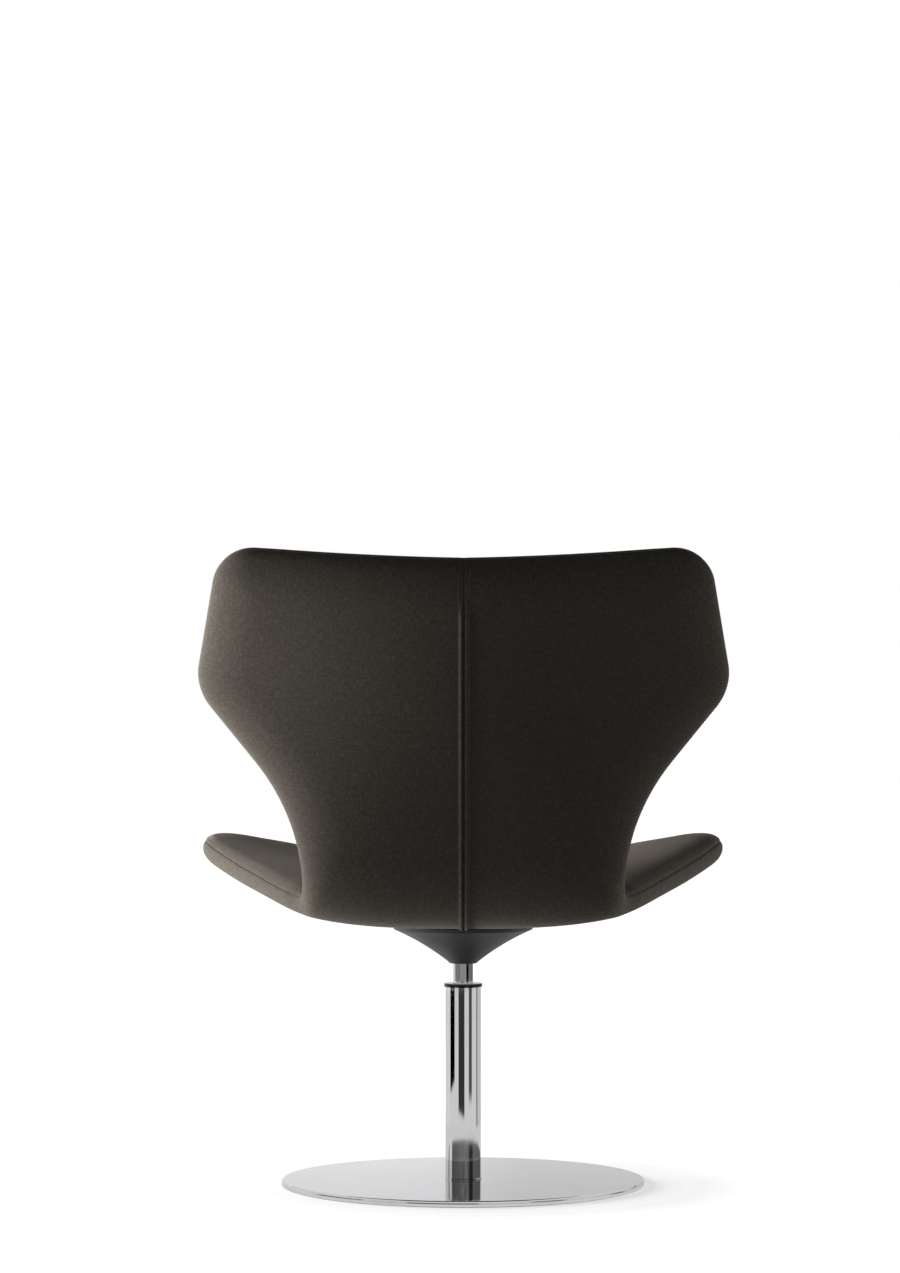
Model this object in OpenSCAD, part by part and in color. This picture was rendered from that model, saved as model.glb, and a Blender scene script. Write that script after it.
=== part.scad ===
// Swivel lounge chair: an upholstered winged shell that turns on a column with a round base plate.
// Sizes are in millimetres. +Z is up, the seat faces -Y, and the origin is on the floor on the swivel axis.

/* [Base plate] */
// Diameter of the base plate
base_d = 510; // [460:5:600]
// Thickness of the base plate
base_t = 8; // [7:0.5:12]
// Radius of the rounded upper edge of the base plate
base_edge_r = 4; // [1:0.5:5]
// Thickness of the soft floor ring under the base plate
floor_ring_t = 1; // [0.5:0.5:3]
// Width of the floor ring
floor_ring_w = 15; // [8:1:30]
// How far the floor ring is set in from the edge of the base plate
floor_ring_inset = 4; // [2:1:20]

/* [Base screws] */
// Number of countersunk screws that hold the column foot
base_screw_n = 4; // [3:1:5]
// Thread diameter of the base screws
base_screw_d = 5; // [4:0.5:5]
// Head diameter of the base screws
base_screw_head_d = 10; // [9:0.5:11]
// Length of the base screws
base_screw_l = 26; // [18:1:32]
// Diameter of the circle that the base screws stand on
base_screw_circle_d = 35; // [34.5:0.5:35.5]

/* [Column] */
// Outer diameter of the column tube
column_d = 50; // [48:1:56]
// Wall of the column tube
column_wall = 2.5; // [2:0.25:3]
// Length of the column tube
column_l = 270; // [230:5:320]
// Diameter of the thin flange between the base plate and the column tube
foot_flange_d = 52; // [51:0.5:60]
// Thickness of that flange
foot_flange_t = 1.5; // [1:0.5:4]
// Height of the column foot inside the tube
foot_h = 34; // [30:1:45]
// Outer diameter of the column cap
cap_d = 54; // [53:0.5:62]
// Height of the column cap
cap_h = 5; // [4:0.5:8]
// How far the cap reaches down over the tube
cap_overlap = 2.5; // [1.5:0.5:3]
// Bevel on the edges of the cap
cap_bevel = 0.8; // [0.3:0.1:1]

/* [Bearings] */
// Length of the upper guide bush
upper_bush_l = 60; // [40:5:80]
// Length of the lower guide bush
lower_bush_l = 30; // [20:5:50]
// Height of the lower guide bush above the thrust bearing
lower_bush_lift = 14; // [8:1:30]
// Outer diameter of the thrust bearing
bearing_d = 30; // [29:0.5:34]
// Thickness of each bearing race
race_t = 2.5; // [2:0.25:3.5]
// Diameter of the bearing balls
ball_d = 4; // [3:0.25:4.25]
// Number of bearing balls
ball_n = 12; // [8:1:14]
// Thickness of the ball cage
cage_t = 1.6; // [1:0.2:2]

/* [Swivel stem] */
// Diameter of the swivel stem
stem_d = 28; // [26:0.5:30]
// Visible length of the stem between the column cap and the cone cover
stem_show = 28; // [15:1:60]
// Length of the tapered seat of the stem in the hub
taper_l = 34; // [24:1:36]
// How much the stem's diameter shrinks along its taper
taper_drop = 1.6; // [0.8:0.2:2.4]
// Diameter of the spigot under the stem
spigot_d = 16; // [14:0.5:16.5]
// Outer diameter of the retaining washer on the spigot
retainer_d = 24; // [22:0.5:25]
// Thickness of the retaining washer
retainer_t = 1.5; // [1:0.25:2]
// Thickness of the circlip
circlip_t = 1.2; // [1:0.1:1.5]
// Depth of the circlip's groove in the spigot
circlip_groove = 0.8; // [0.5:0.1:1]

/* [Seat plate] */
// Side of the square seat plate
plate_w = 120; // [110:2:124]
// Thickness of the seat plate
plate_t = 4; // [3:0.5:5]
// Corner radius of the seat plate
plate_corner_r = 12; // [6:1:20]
// Diameter of the hub under the seat plate
hub_d = 42; // [38:1:42]
// Length of the hub
hub_l = 38; // [36:1:40]
// Spacing of the four seat bolts, both ways
bolt_spacing = 88; // [80:2:90]
// Thread diameter of the seat bolts
bolt_d = 8; // [6:1:8]
// Head diameter of the seat bolts
bolt_head_d = 14; // [12:1:14]
// Head height of the seat bolts
bolt_head_h = 4.5; // [4:0.5:4.5]
// How far the seat bolts reach above the seat plate
bolt_reach = 12; // [9:1:12]
// Outer diameter of the threaded inserts
insert_d = 12; // [11:0.5:14]
// Length of the threaded inserts
insert_l = 13; // [13:1:16]

/* [Cone cover] */
// Diameter of the cone cover at its top
cover_d_top = 195; // [190:1:205]
// Diameter of the cone cover at its bottom
cover_d_low = 41; // [38:1:46]
// Height of the cone cover up to its rim
cover_h = 48; // [46:1:52]
// Slope of the cone cover at its bottom, in degrees
cover_slope = 38.6; // [36:0.2:40]
// Wall of the cone cover
cover_wall = 2.5; // [2:0.25:3]
// Number of ribs inside the cone cover
cover_rib_n = 6; // [3:1:8]
// Thickness of those ribs
cover_rib_t = 1.8; // [1.2:0.2:2.4]
// Height of the sleeve inside the cone cover
sleeve_h = 30; // [24:1:32]
// Gap between the rim of the cone cover and the ridges of the upholstery's centre seam
cover_rim_gap = 0.5; // [0.3:0.1:2]
// Section diameter of the grip ring between hub and sleeve
grip_ring_t = 2; // [1.8:0.1:2.2]

/* [Shell centre line] */
// Distance of the front edge ahead of the swivel axis
seat_reach = 340; // [320:2:360]
// Length of the seat's centre line, from the front edge to the bend
seat_run = 458; // [445:1:475]
// Slope of the seat at the front edge, in degrees
seat_slope_front = 4.1; // [2:0.1:7]
// Slope of the seat at the bend, in degrees; below zero it rises there
seat_slope_rear = -1.1; // [-2:0.1:3]
// Radius of the bend between seat and back
bend_r = 95; // [85:1:105]
// Slope of the back just above the bend, in degrees
back_slope_low = 78; // [76:0.5:80]
// Slope of the back at its top edge, in degrees
back_slope_top = 72; // [70:0.5:75]
// Length of the back's centre line above the bend
back_run = 423; // [400:0.5:450]

/* [Shell outline] */
// Half width of the front edge, before its corners are rounded
front_half_w = 309; // [280:1:320]
// Radius of the front corners
front_corner_r = 104; // [60:1:110]
// Half width of the seat wings
wing_half_w = 376; // [350:1:385]
// Distance of the seat wings behind the front edge
wing_s = 213; // [205:0.5:222]
// Radius of the seat wing tips
wing_tip_r = 82; // [45:1:85]
// Half width at the notch between seat and back
notch_half_w = 220.5; // [210:0.5:235]
// Distance of the notch along the bend
notch_up = 41.5; // [38:0.5:55]
// Radius of the notch
notch_r = 54; // [30:1:55]
// Half width where the back starts to flare
flare_half_w = 214; // [200:1:222]
// Distance of that flare above the bend
flare_up = 48.5; // [40:0.5:55]
// Radius of the flare
flare_r = 256; // [200:1:260]
// Half width of the back at its shoulders
shoulder_half_w = 364; // [345:0.5:370]
// Distance of the shoulders above the bend
shoulder_up = 222; // [210:0.5:235]
// Radius of the shoulders
shoulder_r = 68; // [40:1:70]
// Half width of the back's top edge, before its corners are rounded
top_half_w = 328; // [315:1:340]
// Radius of the top corners
top_corner_r = 58; // [50:1:62]
// How much the top edge dips between the wings
top_dip = 4.2; // [0:0.2:8]
// Half width over which the top edge rises from its dip
top_dip_w = 250; // [200:5:300]

/* [Shell curl] */
// Half width at which the next six heights are measured
curl_at = 300; // [290:1:310]
// Forward or upward curl at the front edge
curl_front = 48.5; // [40:1:62]
// Curl at the seat wings
curl_wing = 51.4; // [38:1:55]
// Curl at the bend
curl_bend = 52; // [40:1:60]
// Curl at the notch
curl_notch = 60; // [48:0.5:68]
// Curl at the shoulders
curl_shoulder = 51.5; // [45:1:65]
// Curl at the top edge
curl_top = 37; // [30:0.5:48]
// Steepness of the curl across the seat
curl_power_seat = 2.45; // [2.2:0.05:3]
// Steepness of the curl at the bend
curl_power_bend = 3.0; // [2.4:0.05:3.4]
// Steepness of the curl at the notch
curl_power_notch = 4.2; // [2.4:0.1:4.4]
// Steepness of the curl across the back
curl_power_back = 1.88; // [1.8:0.02:2.4]

/* [Shell layers] */
// Thickness of the moulded core shell
core_t = 6; // [5:0.5:8]
// Upholstery from the middle surface to the outer face
outer_pad = 24; // [20:1:28]
// Upholstery from the middle surface to the inner face
inner_pad = 16; // [13:1:22]
// Extra crown in the middle of the seat
seat_crown = 6; // [4:1:16]
// Extra fullness of the seat pad over its whole width, half way along it
seat_fill = 25.5; // [10:0.5:30]
// Distance over which the seat pad is rounded to its side edges, half way along it
seat_round = 110; // [60:2:130]
// Extra crown in the middle of the back
back_crown = 8; // [4:1:14]
// Depth of the cross seam between seat pad and back pad
cross_seam_depth = 6; // [3:0.5:8]
// Half width of the hollow along the cross seam
cross_seam_w = 14; // [8:1:24]
// Distance over which the upholstery is rounded to its edge
edge_round = 24; // [20:1:28]
// Thickness of the covers where they meet at the edge seam
edge_lip = 2; // [1.5:0.1:3]
// Thickness of the mounting block between core shell and seat plate, on the axis
block_t = 22.5; // [20:0.5:26]
// Half side of the opening in the outer upholstery for the mounting block
window_half = 66; // [65:1:70]

/* [Centre seam] */
// Height of the two ridges beside the centre seam
ridge_h = 1.6; // [0.8:0.1:2.4]
// Distance of each ridge from the middle of the seam
ridge_x = 3.5; // [2.5:0.1:5]
// Distance from the top edge at which the ridges have faded out
ridge_stop = 50; // [30:2:80]
// Length over which the ridges fade out
ridge_fade = 30; // [15:1:50]

/* [Clearances] */
// Radial clearance of a turning fit
run_gap = 0.05; // [0.02:0.01:0.08]
// Clearance between fitted pieces that don't move
fit_gap = 0.05; // [0.03:0.01:0.1]
// Gap between layers of the shell
layer_gap = 0.3; // [0.2:0.05:0.5]

/* [Hidden] */
$fn = 96;

// Small sizes that several pieces share
eps = 0.5;
screw_recess = 0.2;
bore_d = column_d - 2 * column_wall;
counterbore_d = retainer_d + 1.4;
counterbore_h = 8;
cage_rim = 0.8;
cage_pocket_gap = 0.1;
seam_gap = layer_gap / 2;
block_gap = 2;

// Heights of the stack on the axis, from the floor up
base_top = floor_ring_t + base_t;
tube_z = base_top + foot_flange_t;
tube_top = tube_z + column_l;
bearing_z = tube_z + foot_h;
bearing_h = 2 * race_t + ball_d;
shoulder_z = bearing_z + bearing_h + run_gap;
cap_z = tube_top - cap_overlap;
cap_top = cap_z + cap_h;
cover_z = cap_top + stem_show;
plate_z = cover_z + cover_h;
plate_top = plate_z + plate_t;
hub_z = plate_z - hub_l;
taper_z = hub_z + 1;
stem_top = taper_z + taper_l;
retainer_z = base_top + counterbore_h - retainer_t - run_gap;
circlip_z = retainer_z - circlip_t - run_gap;
spigot_z = circlip_z - 2;
block_top = plate_top + block_t;
shell_z = block_top + layer_gap + core_t / 2;

// Shared tools
module ring(d_out, d_in, h, z) {
    translate([0, 0, z]) difference() {
        cylinder(d = d_out, h = h);
        translate([0, 0, -eps]) cylinder(d = d_in, h = h + 2 * eps);
    }
}

module around(n, r) {
    for (i = [0:n - 1]) rotate(i * 360 / n) translate([r, 0, 0]) children();
}

module at_bolts() {
    for (x = [-1, 1], y = [-1, 1]) translate([x, y, 0] * bolt_spacing / 2) children();
}

module rounded_square(w, r) {
    square([w, w - 2 * r], center = true);
    square([w - 2 * r, w], center = true);
    for (x = [-1, 1], y = [-1, 1]) translate([x, y] * (w / 2 - r)) circle(r);
}

function arc(c, r, a, b, n) = [for (k = [0:n]) c + r * [cos(a + (b - a) * k / n), sin(a + (b - a) * k / n)]];

// Base plate and what holds the column on it
module floor_ring() {
    d = base_d - 2 * floor_ring_inset;
    color("dimgray") ring(d, d - 2 * floor_ring_w, floor_ring_t, 0);
}

module screw_shape(extra, l) {
    cone_h = (base_screw_head_d - base_screw_d) / 2;
    cylinder(d1 = base_screw_head_d + 2 * extra, d2 = base_screw_d + 2 * extra, h = cone_h);
    cylinder(d = base_screw_d + 2 * extra, h = l);
}

module base_disc() {
    corner = [base_d / 2 - base_edge_r, base_t - base_edge_r];
    color("silver") translate([0, 0, floor_ring_t]) difference() {
        rotate_extrude() polygon(concat([[0, 0], [base_d / 2 - eps, 0], [base_d / 2, eps]],
            arc(corner, base_edge_r, 0, 90, 6), [[0, base_t]]));
        around(base_screw_n, base_screw_circle_d / 2) {
            translate([0, 0, -eps]) cylinder(d = base_screw_head_d + 2 * fit_gap, h = eps + screw_recess);
            translate([0, 0, screw_recess]) screw_shape(fit_gap, base_t + eps);
        }
    }
}

module base_screws() {
    socket_d = base_screw_d * 0.7;
    color("silver") around(base_screw_n, base_screw_circle_d / 2)
        translate([0, 0, floor_ring_t + screw_recess]) difference() {
            screw_shape(0, base_screw_l);
            translate([0, 0, -eps]) cylinder(d = socket_d, h = base_screw_d / 2 + eps, $fn = 6);
        }
}

module column_foot() {
    plug_d = bore_d - 2 * fit_gap;
    color("silver") translate([0, 0, base_top]) difference() {
        union() {
            cylinder(d = foot_flange_d, h = foot_flange_t - eps);
            translate([0, 0, foot_flange_t - eps]) cylinder(d1 = foot_flange_d, d2 = foot_flange_d - 2 * eps, h = eps);
            cylinder(d = plug_d, h = foot_flange_t + foot_h);
        }
        translate([0, 0, -eps]) cylinder(d = counterbore_d, h = counterbore_h + eps);
        translate([0, 0, -eps]) cylinder(d = spigot_d + 2 * run_gap, h = foot_flange_t + foot_h + 2 * eps);
        around(base_screw_n, base_screw_circle_d / 2) translate([0, 0, -eps])
            cylinder(d = base_screw_d + 2 * fit_gap, h = base_screw_l - base_t + screw_recess + 2 * eps);
    }
}

// Column
module column_tube() {
    color("silver") ring(column_d, bore_d, column_l, tube_z);
}

module column_cap() {
    r = cap_d / 2;
    color([0.1, 0.1, 0.1]) translate([0, 0, cap_z]) difference() {
        rotate_extrude() polygon([[0, 0], [r - cap_bevel, 0], [r, cap_bevel], [r, cap_h - cap_bevel],
            [r - cap_bevel, cap_h], [0, cap_h]]);
        translate([0, 0, -eps]) cylinder(d = column_d + 2 * fit_gap, h = cap_overlap + eps);
        translate([0, 0, -eps]) cylinder(d = stem_d + 1, h = cap_h + 2 * eps);
    }
}

module guide_bush(l, z) {
    color("ivory") ring(bore_d - 2 * fit_gap, stem_d + 2 * run_gap, l, z);
}

module lower_bush() {
    guide_bush(lower_bush_l, bearing_z + bearing_h + lower_bush_lift);
}

module upper_bush() {
    guide_bush(upper_bush_l, tube_top - upper_bush_l);
}

// Thrust bearing under the stem
module thrust_race_lower() {
    color("silver") ring(bearing_d, spigot_d + 2 * run_gap, race_t, bearing_z);
}

module thrust_race_upper() {
    color("silver") ring(bearing_d, spigot_d + 2 * fit_gap, race_t, bearing_z + race_t + ball_d);
}

ball_circle_r = (bearing_d + spigot_d) / 4;

module ball_cage() {
    cage_z = bearing_z + race_t + (ball_d - cage_t) / 2;
    color("goldenrod") difference() {
        ring(bearing_d - 2 * cage_rim, spigot_d + 2 * cage_rim, cage_t, cage_z);
        around(ball_n, ball_circle_r) translate([0, 0, cage_z - eps])
            cylinder(d = ball_d + 2 * cage_pocket_gap, h = cage_t + 2 * eps, $fn = 32);
    }
}

module thrust_balls() {
    color("silver") around(ball_n, ball_circle_r) translate([0, 0, bearing_z + race_t + ball_d / 2])
        sphere(d = ball_d - 2 * run_gap, $fn = 32);
}

// Stem that carries the seat, and what keeps it from lifting out
function taper_r(z) = (stem_d - taper_drop * (z - taper_z) / taper_l) / 2;

module swivel_stem() {
    groove_r = spigot_d / 2 - circlip_groove;
    groove_low = circlip_z - run_gap;
    groove_top = circlip_z + circlip_t + run_gap;
    r = stem_d / 2;
    color("silver") rotate_extrude() polygon([[0, spigot_z], [spigot_d / 2 - eps, spigot_z], [spigot_d / 2, spigot_z + eps],
        [spigot_d / 2, groove_low], [groove_r, groove_low], [groove_r, groove_top], [spigot_d / 2, groove_top],
        [spigot_d / 2, shoulder_z], [r, shoulder_z], [r, taper_z], [taper_r(stem_top), stem_top], [0, stem_top]]);
}

module retaining_washer() {
    color("silver") ring(retainer_d, spigot_d + 2 * fit_gap, retainer_t, retainer_z);
}

module circlip() {
    inner_d = spigot_d - 2 * circlip_groove + 2 * fit_gap;
    outer_d = spigot_d + 4;
    slot = 4;
    color("dimgray") difference() {
        ring(outer_d, inner_d, circlip_t, circlip_z);
        translate([0, -slot / 2, circlip_z - eps]) cube([outer_d, slot, circlip_t + 2 * eps]);
    }
}

// Seat plate with its hub, bolts and inserts
grip_z = hub_z + hub_l / 2;
grip_groove = grip_ring_t - 0.4;

module seat_plate() {
    bore_low = taper_r(hub_z) + fit_gap;
    bore_high = taper_r(plate_top) + fit_gap;
    color("dimgray") difference() {
        union() {
            translate([0, 0, plate_z]) linear_extrude(plate_t) rounded_square(plate_w, plate_corner_r);
            translate([0, 0, hub_z]) cylinder(d = hub_d, h = hub_l);
        }
        translate([0, 0, hub_z]) cylinder(r1 = bore_low, r2 = bore_high, h = hub_l + plate_t);
        translate([0, 0, hub_z - eps]) cylinder(r = bore_low, h = eps);
        translate([0, 0, plate_top]) cylinder(r = bore_high, h = eps);
        translate([0, 0, grip_z - grip_ring_t / 2 - run_gap]) difference() {
            cylinder(d = hub_d + 2 * eps, h = grip_ring_t + 2 * run_gap);
            cylinder(d = hub_d - 2 * grip_groove, h = grip_ring_t + 2 * run_gap);
        }
        at_bolts() translate([0, 0, plate_z - eps]) cylinder(d = bolt_d + 1, h = plate_t + 2 * eps);
    }
}

module seat_bolts() {
    socket_d = bolt_d * 0.7;
    color("dimgray") at_bolts() difference() {
        union() {
            translate([0, 0, plate_z - bolt_head_h]) cylinder(d1 = bolt_head_d - 2, d2 = bolt_head_d, h = bolt_head_h);
            translate([0, 0, plate_z - eps]) cylinder(d = bolt_d, h = plate_t + bolt_reach + eps);
        }
        translate([0, 0, plate_z - bolt_head_h - eps]) cylinder(d = socket_d, h = bolt_head_h - 1 + eps, $fn = 6);
    }
}

module threaded_inserts() {
    color("goldenrod") at_bolts() ring(insert_d, bolt_d + 2 * fit_gap, insert_l, plate_top + fit_gap);
}

module grip_ring() {
    ring_r = hub_d / 2 - grip_groove + grip_ring_t / 2 + fit_gap;
    color("black") translate([0, 0, grip_z]) rotate_extrude() translate([ring_r, 0]) circle(d = grip_ring_t, $fn = 24);
}

// Cone cover: a flared moulding whose rim is trimmed to follow the seat
cover_low = [cover_d_low / 2, 1.7];
cover_rim = [cover_d_top / 2, cover_h];
cover_chord = cover_rim - cover_low;
cover_end_slope = 2 * atan2(cover_chord[1], cover_chord[0]) - cover_slope;
cover_r = norm(cover_chord) / (2 * sin((cover_slope - cover_end_slope) / 2));
cover_centre = cover_low + cover_r * [sin(cover_slope), -cos(cover_slope)];

function cover_arc(offset, n) = arc(cover_centre, cover_r + offset, 90 + cover_slope, 90 + cover_end_slope, n);
function cover_inside(r) = cover_centre[1] + sqrt(pow(cover_r + cover_wall, 2) - pow(r - cover_centre[0], 2));

module cover_body() {
    bore_r = stem_d / 2 + 0.6;
    rim_r = cover_d_top / 2;
    lip_h = 14;
    bottom_r = 2;
    inner = [for (p = cover_arc(cover_wall, 12)) if (p[0] < rim_r - cover_wall) p];
    rotate_extrude() polygon(concat([[bore_r, 0], [cover_low[0] - bottom_r, 0], [cover_low[0] - 0.7, 0.6]],
        cover_arc(0, 12), [[rim_r, cover_h + lip_h], [rim_r - cover_wall, cover_h + lip_h],
        [rim_r - cover_wall, cover_inside(rim_r - cover_wall)]],
        [for (k = [len(inner) - 1:-1:0]) if (inner[k][0] > bore_r + 1) inner[k]], [[bore_r, cover_wall + 0.5]]));
}

module cover_ribs() {
    sleeve_r = hub_d / 2 + eps;
    rib_top = sleeve_h - 4;
    rib_end = sleeve_r + 26;
    steps = 5;
    low = [for (k = [0:steps]) let(r = sleeve_r + 1 + (rib_end - sleeve_r - 1) * k / steps) [r, cover_inside(r) - 1]];
    for (i = [0:cover_rib_n - 1]) rotate(i * 360 / cover_rib_n + 15) rotate([90, 0, 0])
        translate([0, 0, -cover_rib_t / 2]) linear_extrude(cover_rib_t)
            polygon(concat(low, [[rib_end, max(rib_top, cover_inside(rib_end))], [sleeve_r + 1, rib_top]]));
}

module cone_cover() {
    sleeve_r = hub_d / 2 + eps;
    sleeve_z = cover_inside(sleeve_r + 1) - 1.5;
    rim_z = shell_z - (outer_pad + ridge_h) * cos(axis_slope) - cover_rim_gap + rim_rise;
    color([0.2, 0.2, 0.21]) difference() {
        translate([0, 0, cover_z]) {
            cover_body();
            difference() {
                translate([0, 0, sleeve_z]) cylinder(r = sleeve_r + 2, h = sleeve_h - sleeve_z);
                translate([0, 0, sleeve_z - eps]) cylinder(r = sleeve_r, h = sleeve_h - sleeve_z + 2 * eps);
            }
            cover_ribs();
        }
        translate([0, 0, rim_z]) rotate([axis_slope, 0, 0])
            translate([-cover_d_top, -cover_d_top, 0]) cube([2 * cover_d_top, 2 * cover_d_top, cover_h]);
    }
}

// Centre line of the shell, from the front edge over the bend to the top edge: [y, z, slope]
notch_s = seat_run + notch_up;
bend_run = bend_r * (back_slope_low + seat_slope_rear) * PI / 180;
bend_end = seat_run + bend_run;
shell_run = bend_end + back_run;
shoulder_s = bend_end + shoulder_up;

function along(p, a, b, l, t) =
    let(r = l * 180 / (PI * (b - a)), now = a + (b - a) * t / l)
    [p[0] + r * (sin(now) - sin(a)), p[1] - r * (cos(now) - cos(a)), now];

seat_r = seat_run * 180 / (PI * (seat_slope_front - seat_slope_rear));
axis_slope = asin(seat_reach / seat_r - sin(seat_slope_front));
axis_s = seat_run * (axis_slope + seat_slope_front) / (seat_slope_front - seat_slope_rear);
front_z = shell_z + seat_r * (cos(axis_slope) - cos(seat_slope_front));
front_point = [-seat_reach, front_z];
rim_rise = pow(cover_d_top / 2, 2) / (2 * seat_r);

function on_seat(s) = along(front_point, -seat_slope_front, -seat_slope_rear, seat_run, s);
bend_point = on_seat(seat_run);
function on_bend(s) = along(bend_point, -seat_slope_rear, back_slope_low, bend_run, s - seat_run);
back_point = on_bend(bend_end);
function on_back(s) = along(back_point, back_slope_low, back_slope_top, back_run, s - bend_end);
function centre_line(s) = s <= seat_run ? on_seat(s) : s <= bend_end ? on_bend(s) : on_back(s);

// How far the shell curls towards the sitter at x
function ease(t) = let(c = max(0, min(1, t))) c * c * (3 - 2 * c);
function mix(table, s) = len(table) == 1 ? table[0][1] : s >= table[1][0]
    ? mix([for (k = [1:len(table) - 1]) table[k]], s)
    : table[0][1] + (table[1][1] - table[0][1]) * ease((s - table[0][0]) / (table[1][0] - table[0][0]));
curl_table = [[0, curl_front], [wing_s, curl_wing], [seat_run, curl_bend], [notch_s, curl_notch],
    [shoulder_s, curl_shoulder], [shell_run, curl_top]];
power_table = [[0, curl_power_seat], [axis_s, curl_power_seat], [seat_run, curl_power_bend], [notch_s, curl_power_notch],
    [shoulder_s, curl_power_back], [shell_run, curl_power_back]];
function curl(x, s) = mix(curl_table, s) * pow(abs(x) / curl_at, mix(power_table, s));

// Middle surface of the shell and its normal, which points to the sitter
function dip(x, s) = s <= bend_end ? 0 : top_dip * min(1, abs(x) / top_dip_w) * pow((s - bend_end) / back_run, 2);
function middle(x, s) =
    let(c = centre_line(s + dip(x, s)), h = curl(x, s))
    [x, c[0] - h * sin(c[2]), c[1] + h * cos(c[2])];
function normal(x, s) =
    let(n = cross(middle(x + 1, s) - middle(x - 1, s), middle(x, s + 1) - middle(x, s - 1)))
    n / norm(n);

// Outline of the shell in [x, s], with rounded corners
function unit(v) = v / norm(v);
function fillet(a, p, b, r, n) =
    let(u = unit(a - p), v = unit(b - p), half = acos(u * v) / 2, c = p + unit(u + v) * r / sin(half),
        p0 = p + u * r / tan(half) - c, p1 = p + v * r / tan(half) - c,
        a0 = atan2(p0[1], p0[0]), turn = (atan2(p1[1], p1[0]) - a0 + 540) % 360 - 180)
    arc(c, r, a0, a0 + turn, n);
corners = [[0, 0], [front_half_w, 0], [wing_half_w, wing_s], [notch_half_w, notch_s],
    [flare_half_w, bend_end + flare_up], [shoulder_half_w, shoulder_s], [top_half_w, shell_run], [0, shell_run]];
corner_r = [0, front_corner_r, wing_tip_r, notch_r, flare_r, shoulder_r, top_corner_r];
outline = [for (k = [1:6]) each fillet(corners[k - 1], corners[k], corners[k + 1], corner_r[k], 8)];
half_widths = [for (p = outline) [p[1], p[0]]];
function half_width(s) = lookup(s, half_widths);
function segment_distance(p, a, b) = let(d = b - a, t = max(0, min(1, (p - a) * d / (d * d)))) norm(a + d * t - p);
function edge_distance(x, s) = min(s, shell_run - s,
    min([for (k = [0:len(outline) - 2]) segment_distance([abs(x), s], outline[k], outline[k + 1])]));

// Rows along the shell and columns across one half
function span(a, b, n) = [for (k = [0:n - 1]) a + (b - a) * k / n];
edge_steps = [0, 0.076, 0.293, 0.617];
front_rows = [for (k = edge_steps) k * edge_round];
top_rows = [for (k = [3:-1:0]) shell_run - edge_steps[k] * edge_round];
window_s = [axis_s - window_half, axis_s + window_half];
wing_zone = [wing_s - 0.55 * wing_tip_r, wing_s + 0.47 * wing_tip_r];
shoulder_zone = [shoulder_s - 0.48 * shoulder_r, shoulder_s + 0.48 * shoulder_r];
rows_before = concat(front_rows, span(edge_round, front_corner_r, 3), span(front_corner_r, wing_zone[0], 2),
    span(wing_zone[0], wing_zone[1], 4), span(wing_zone[1], window_s[0], 1));
rows_window = concat(span(window_s[0], window_s[1], 2), [window_s[1]]);
rows_rear = concat(span((window_s[1] + seat_run) / 2, notch_s, 5), [notch_s]);
rows_back = concat(span(notch_s, bend_end, 5), span(bend_end, shoulder_zone[0], 5),
    span(shoulder_zone[0], shoulder_zone[1], 4), span(shoulder_zone[1], shell_run - top_corner_r, 3),
    span(shell_run - top_corner_r, shell_run - edge_round, 2),
    [shell_run - edge_round], top_rows);
seat_rows = concat(rows_before, rows_window, rows_rear);
rows = concat(seat_rows, [for (k = [1:len(rows_back) - 1]) rows_back[k]]);
window_row = len(rows_before);
notch_row = len(seat_rows) - 1;

seam_columns = [0, ridge_x, 2 * ridge_x, window_half];
wing_steps = 4;
function column_x(s, first) =
    let(w = half_width(s), start = seam_columns[3], flat = w - edge_round)
    concat([first], [for (k = [1:3]) seam_columns[k]],
        [for (k = [1:wing_steps]) start + (flat - start) * k / wing_steps],
        [for (k = [3:-1:0]) w - edge_steps[k] * edge_round]);
last_column = len(seam_columns) + wing_steps + len(edge_steps) - 1;
core_column = last_column - 3;
core_row = 3;

// Offsets of the upholstery faces from the middle surface
function roundness(d, reach = edge_round) = sqrt(max(0, 1 - pow(1 - min(1, d / reach), 2)));
function ridge(x, s) = abs(x) == ridge_x ? ridge_h * max(0, min(1, (shell_run - ridge_stop - s) / ridge_fade)) : 0;
function outer_face(x, s, d) = -seam_gap - edge_lip - (outer_pad - edge_lip) * roundness(d) - ridge(x, s);
function seat_share(s) = s < notch_s ? 1 - pow(1 - sin(180 * s / notch_s), 3) : 0;
function back_share(s) = s > notch_s ? sin(180 * (s - notch_s) / (shell_run - notch_s)) : 0;
function crown(x, s) = seat_fill * seat_share(s)
    + (1 - pow(x / half_width(s), 2)) * (seat_crown * seat_share(s) + back_crown * back_share(s));
function cross_seam(s) = cross_seam_depth * exp(-pow((s - notch_s) / cross_seam_w, 2));
function inner_reach(s) = edge_round + (seat_round - edge_round) * seat_share(s);
function inner_face(x, s, d) = seam_gap + edge_lip
    + (inner_pad - edge_lip - cross_seam(s) + crown(x, s)) * roundness(d, inner_reach(s));
function under_core(i, j) = i >= core_row && i < len(rows) - core_row && j <= core_column;

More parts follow.
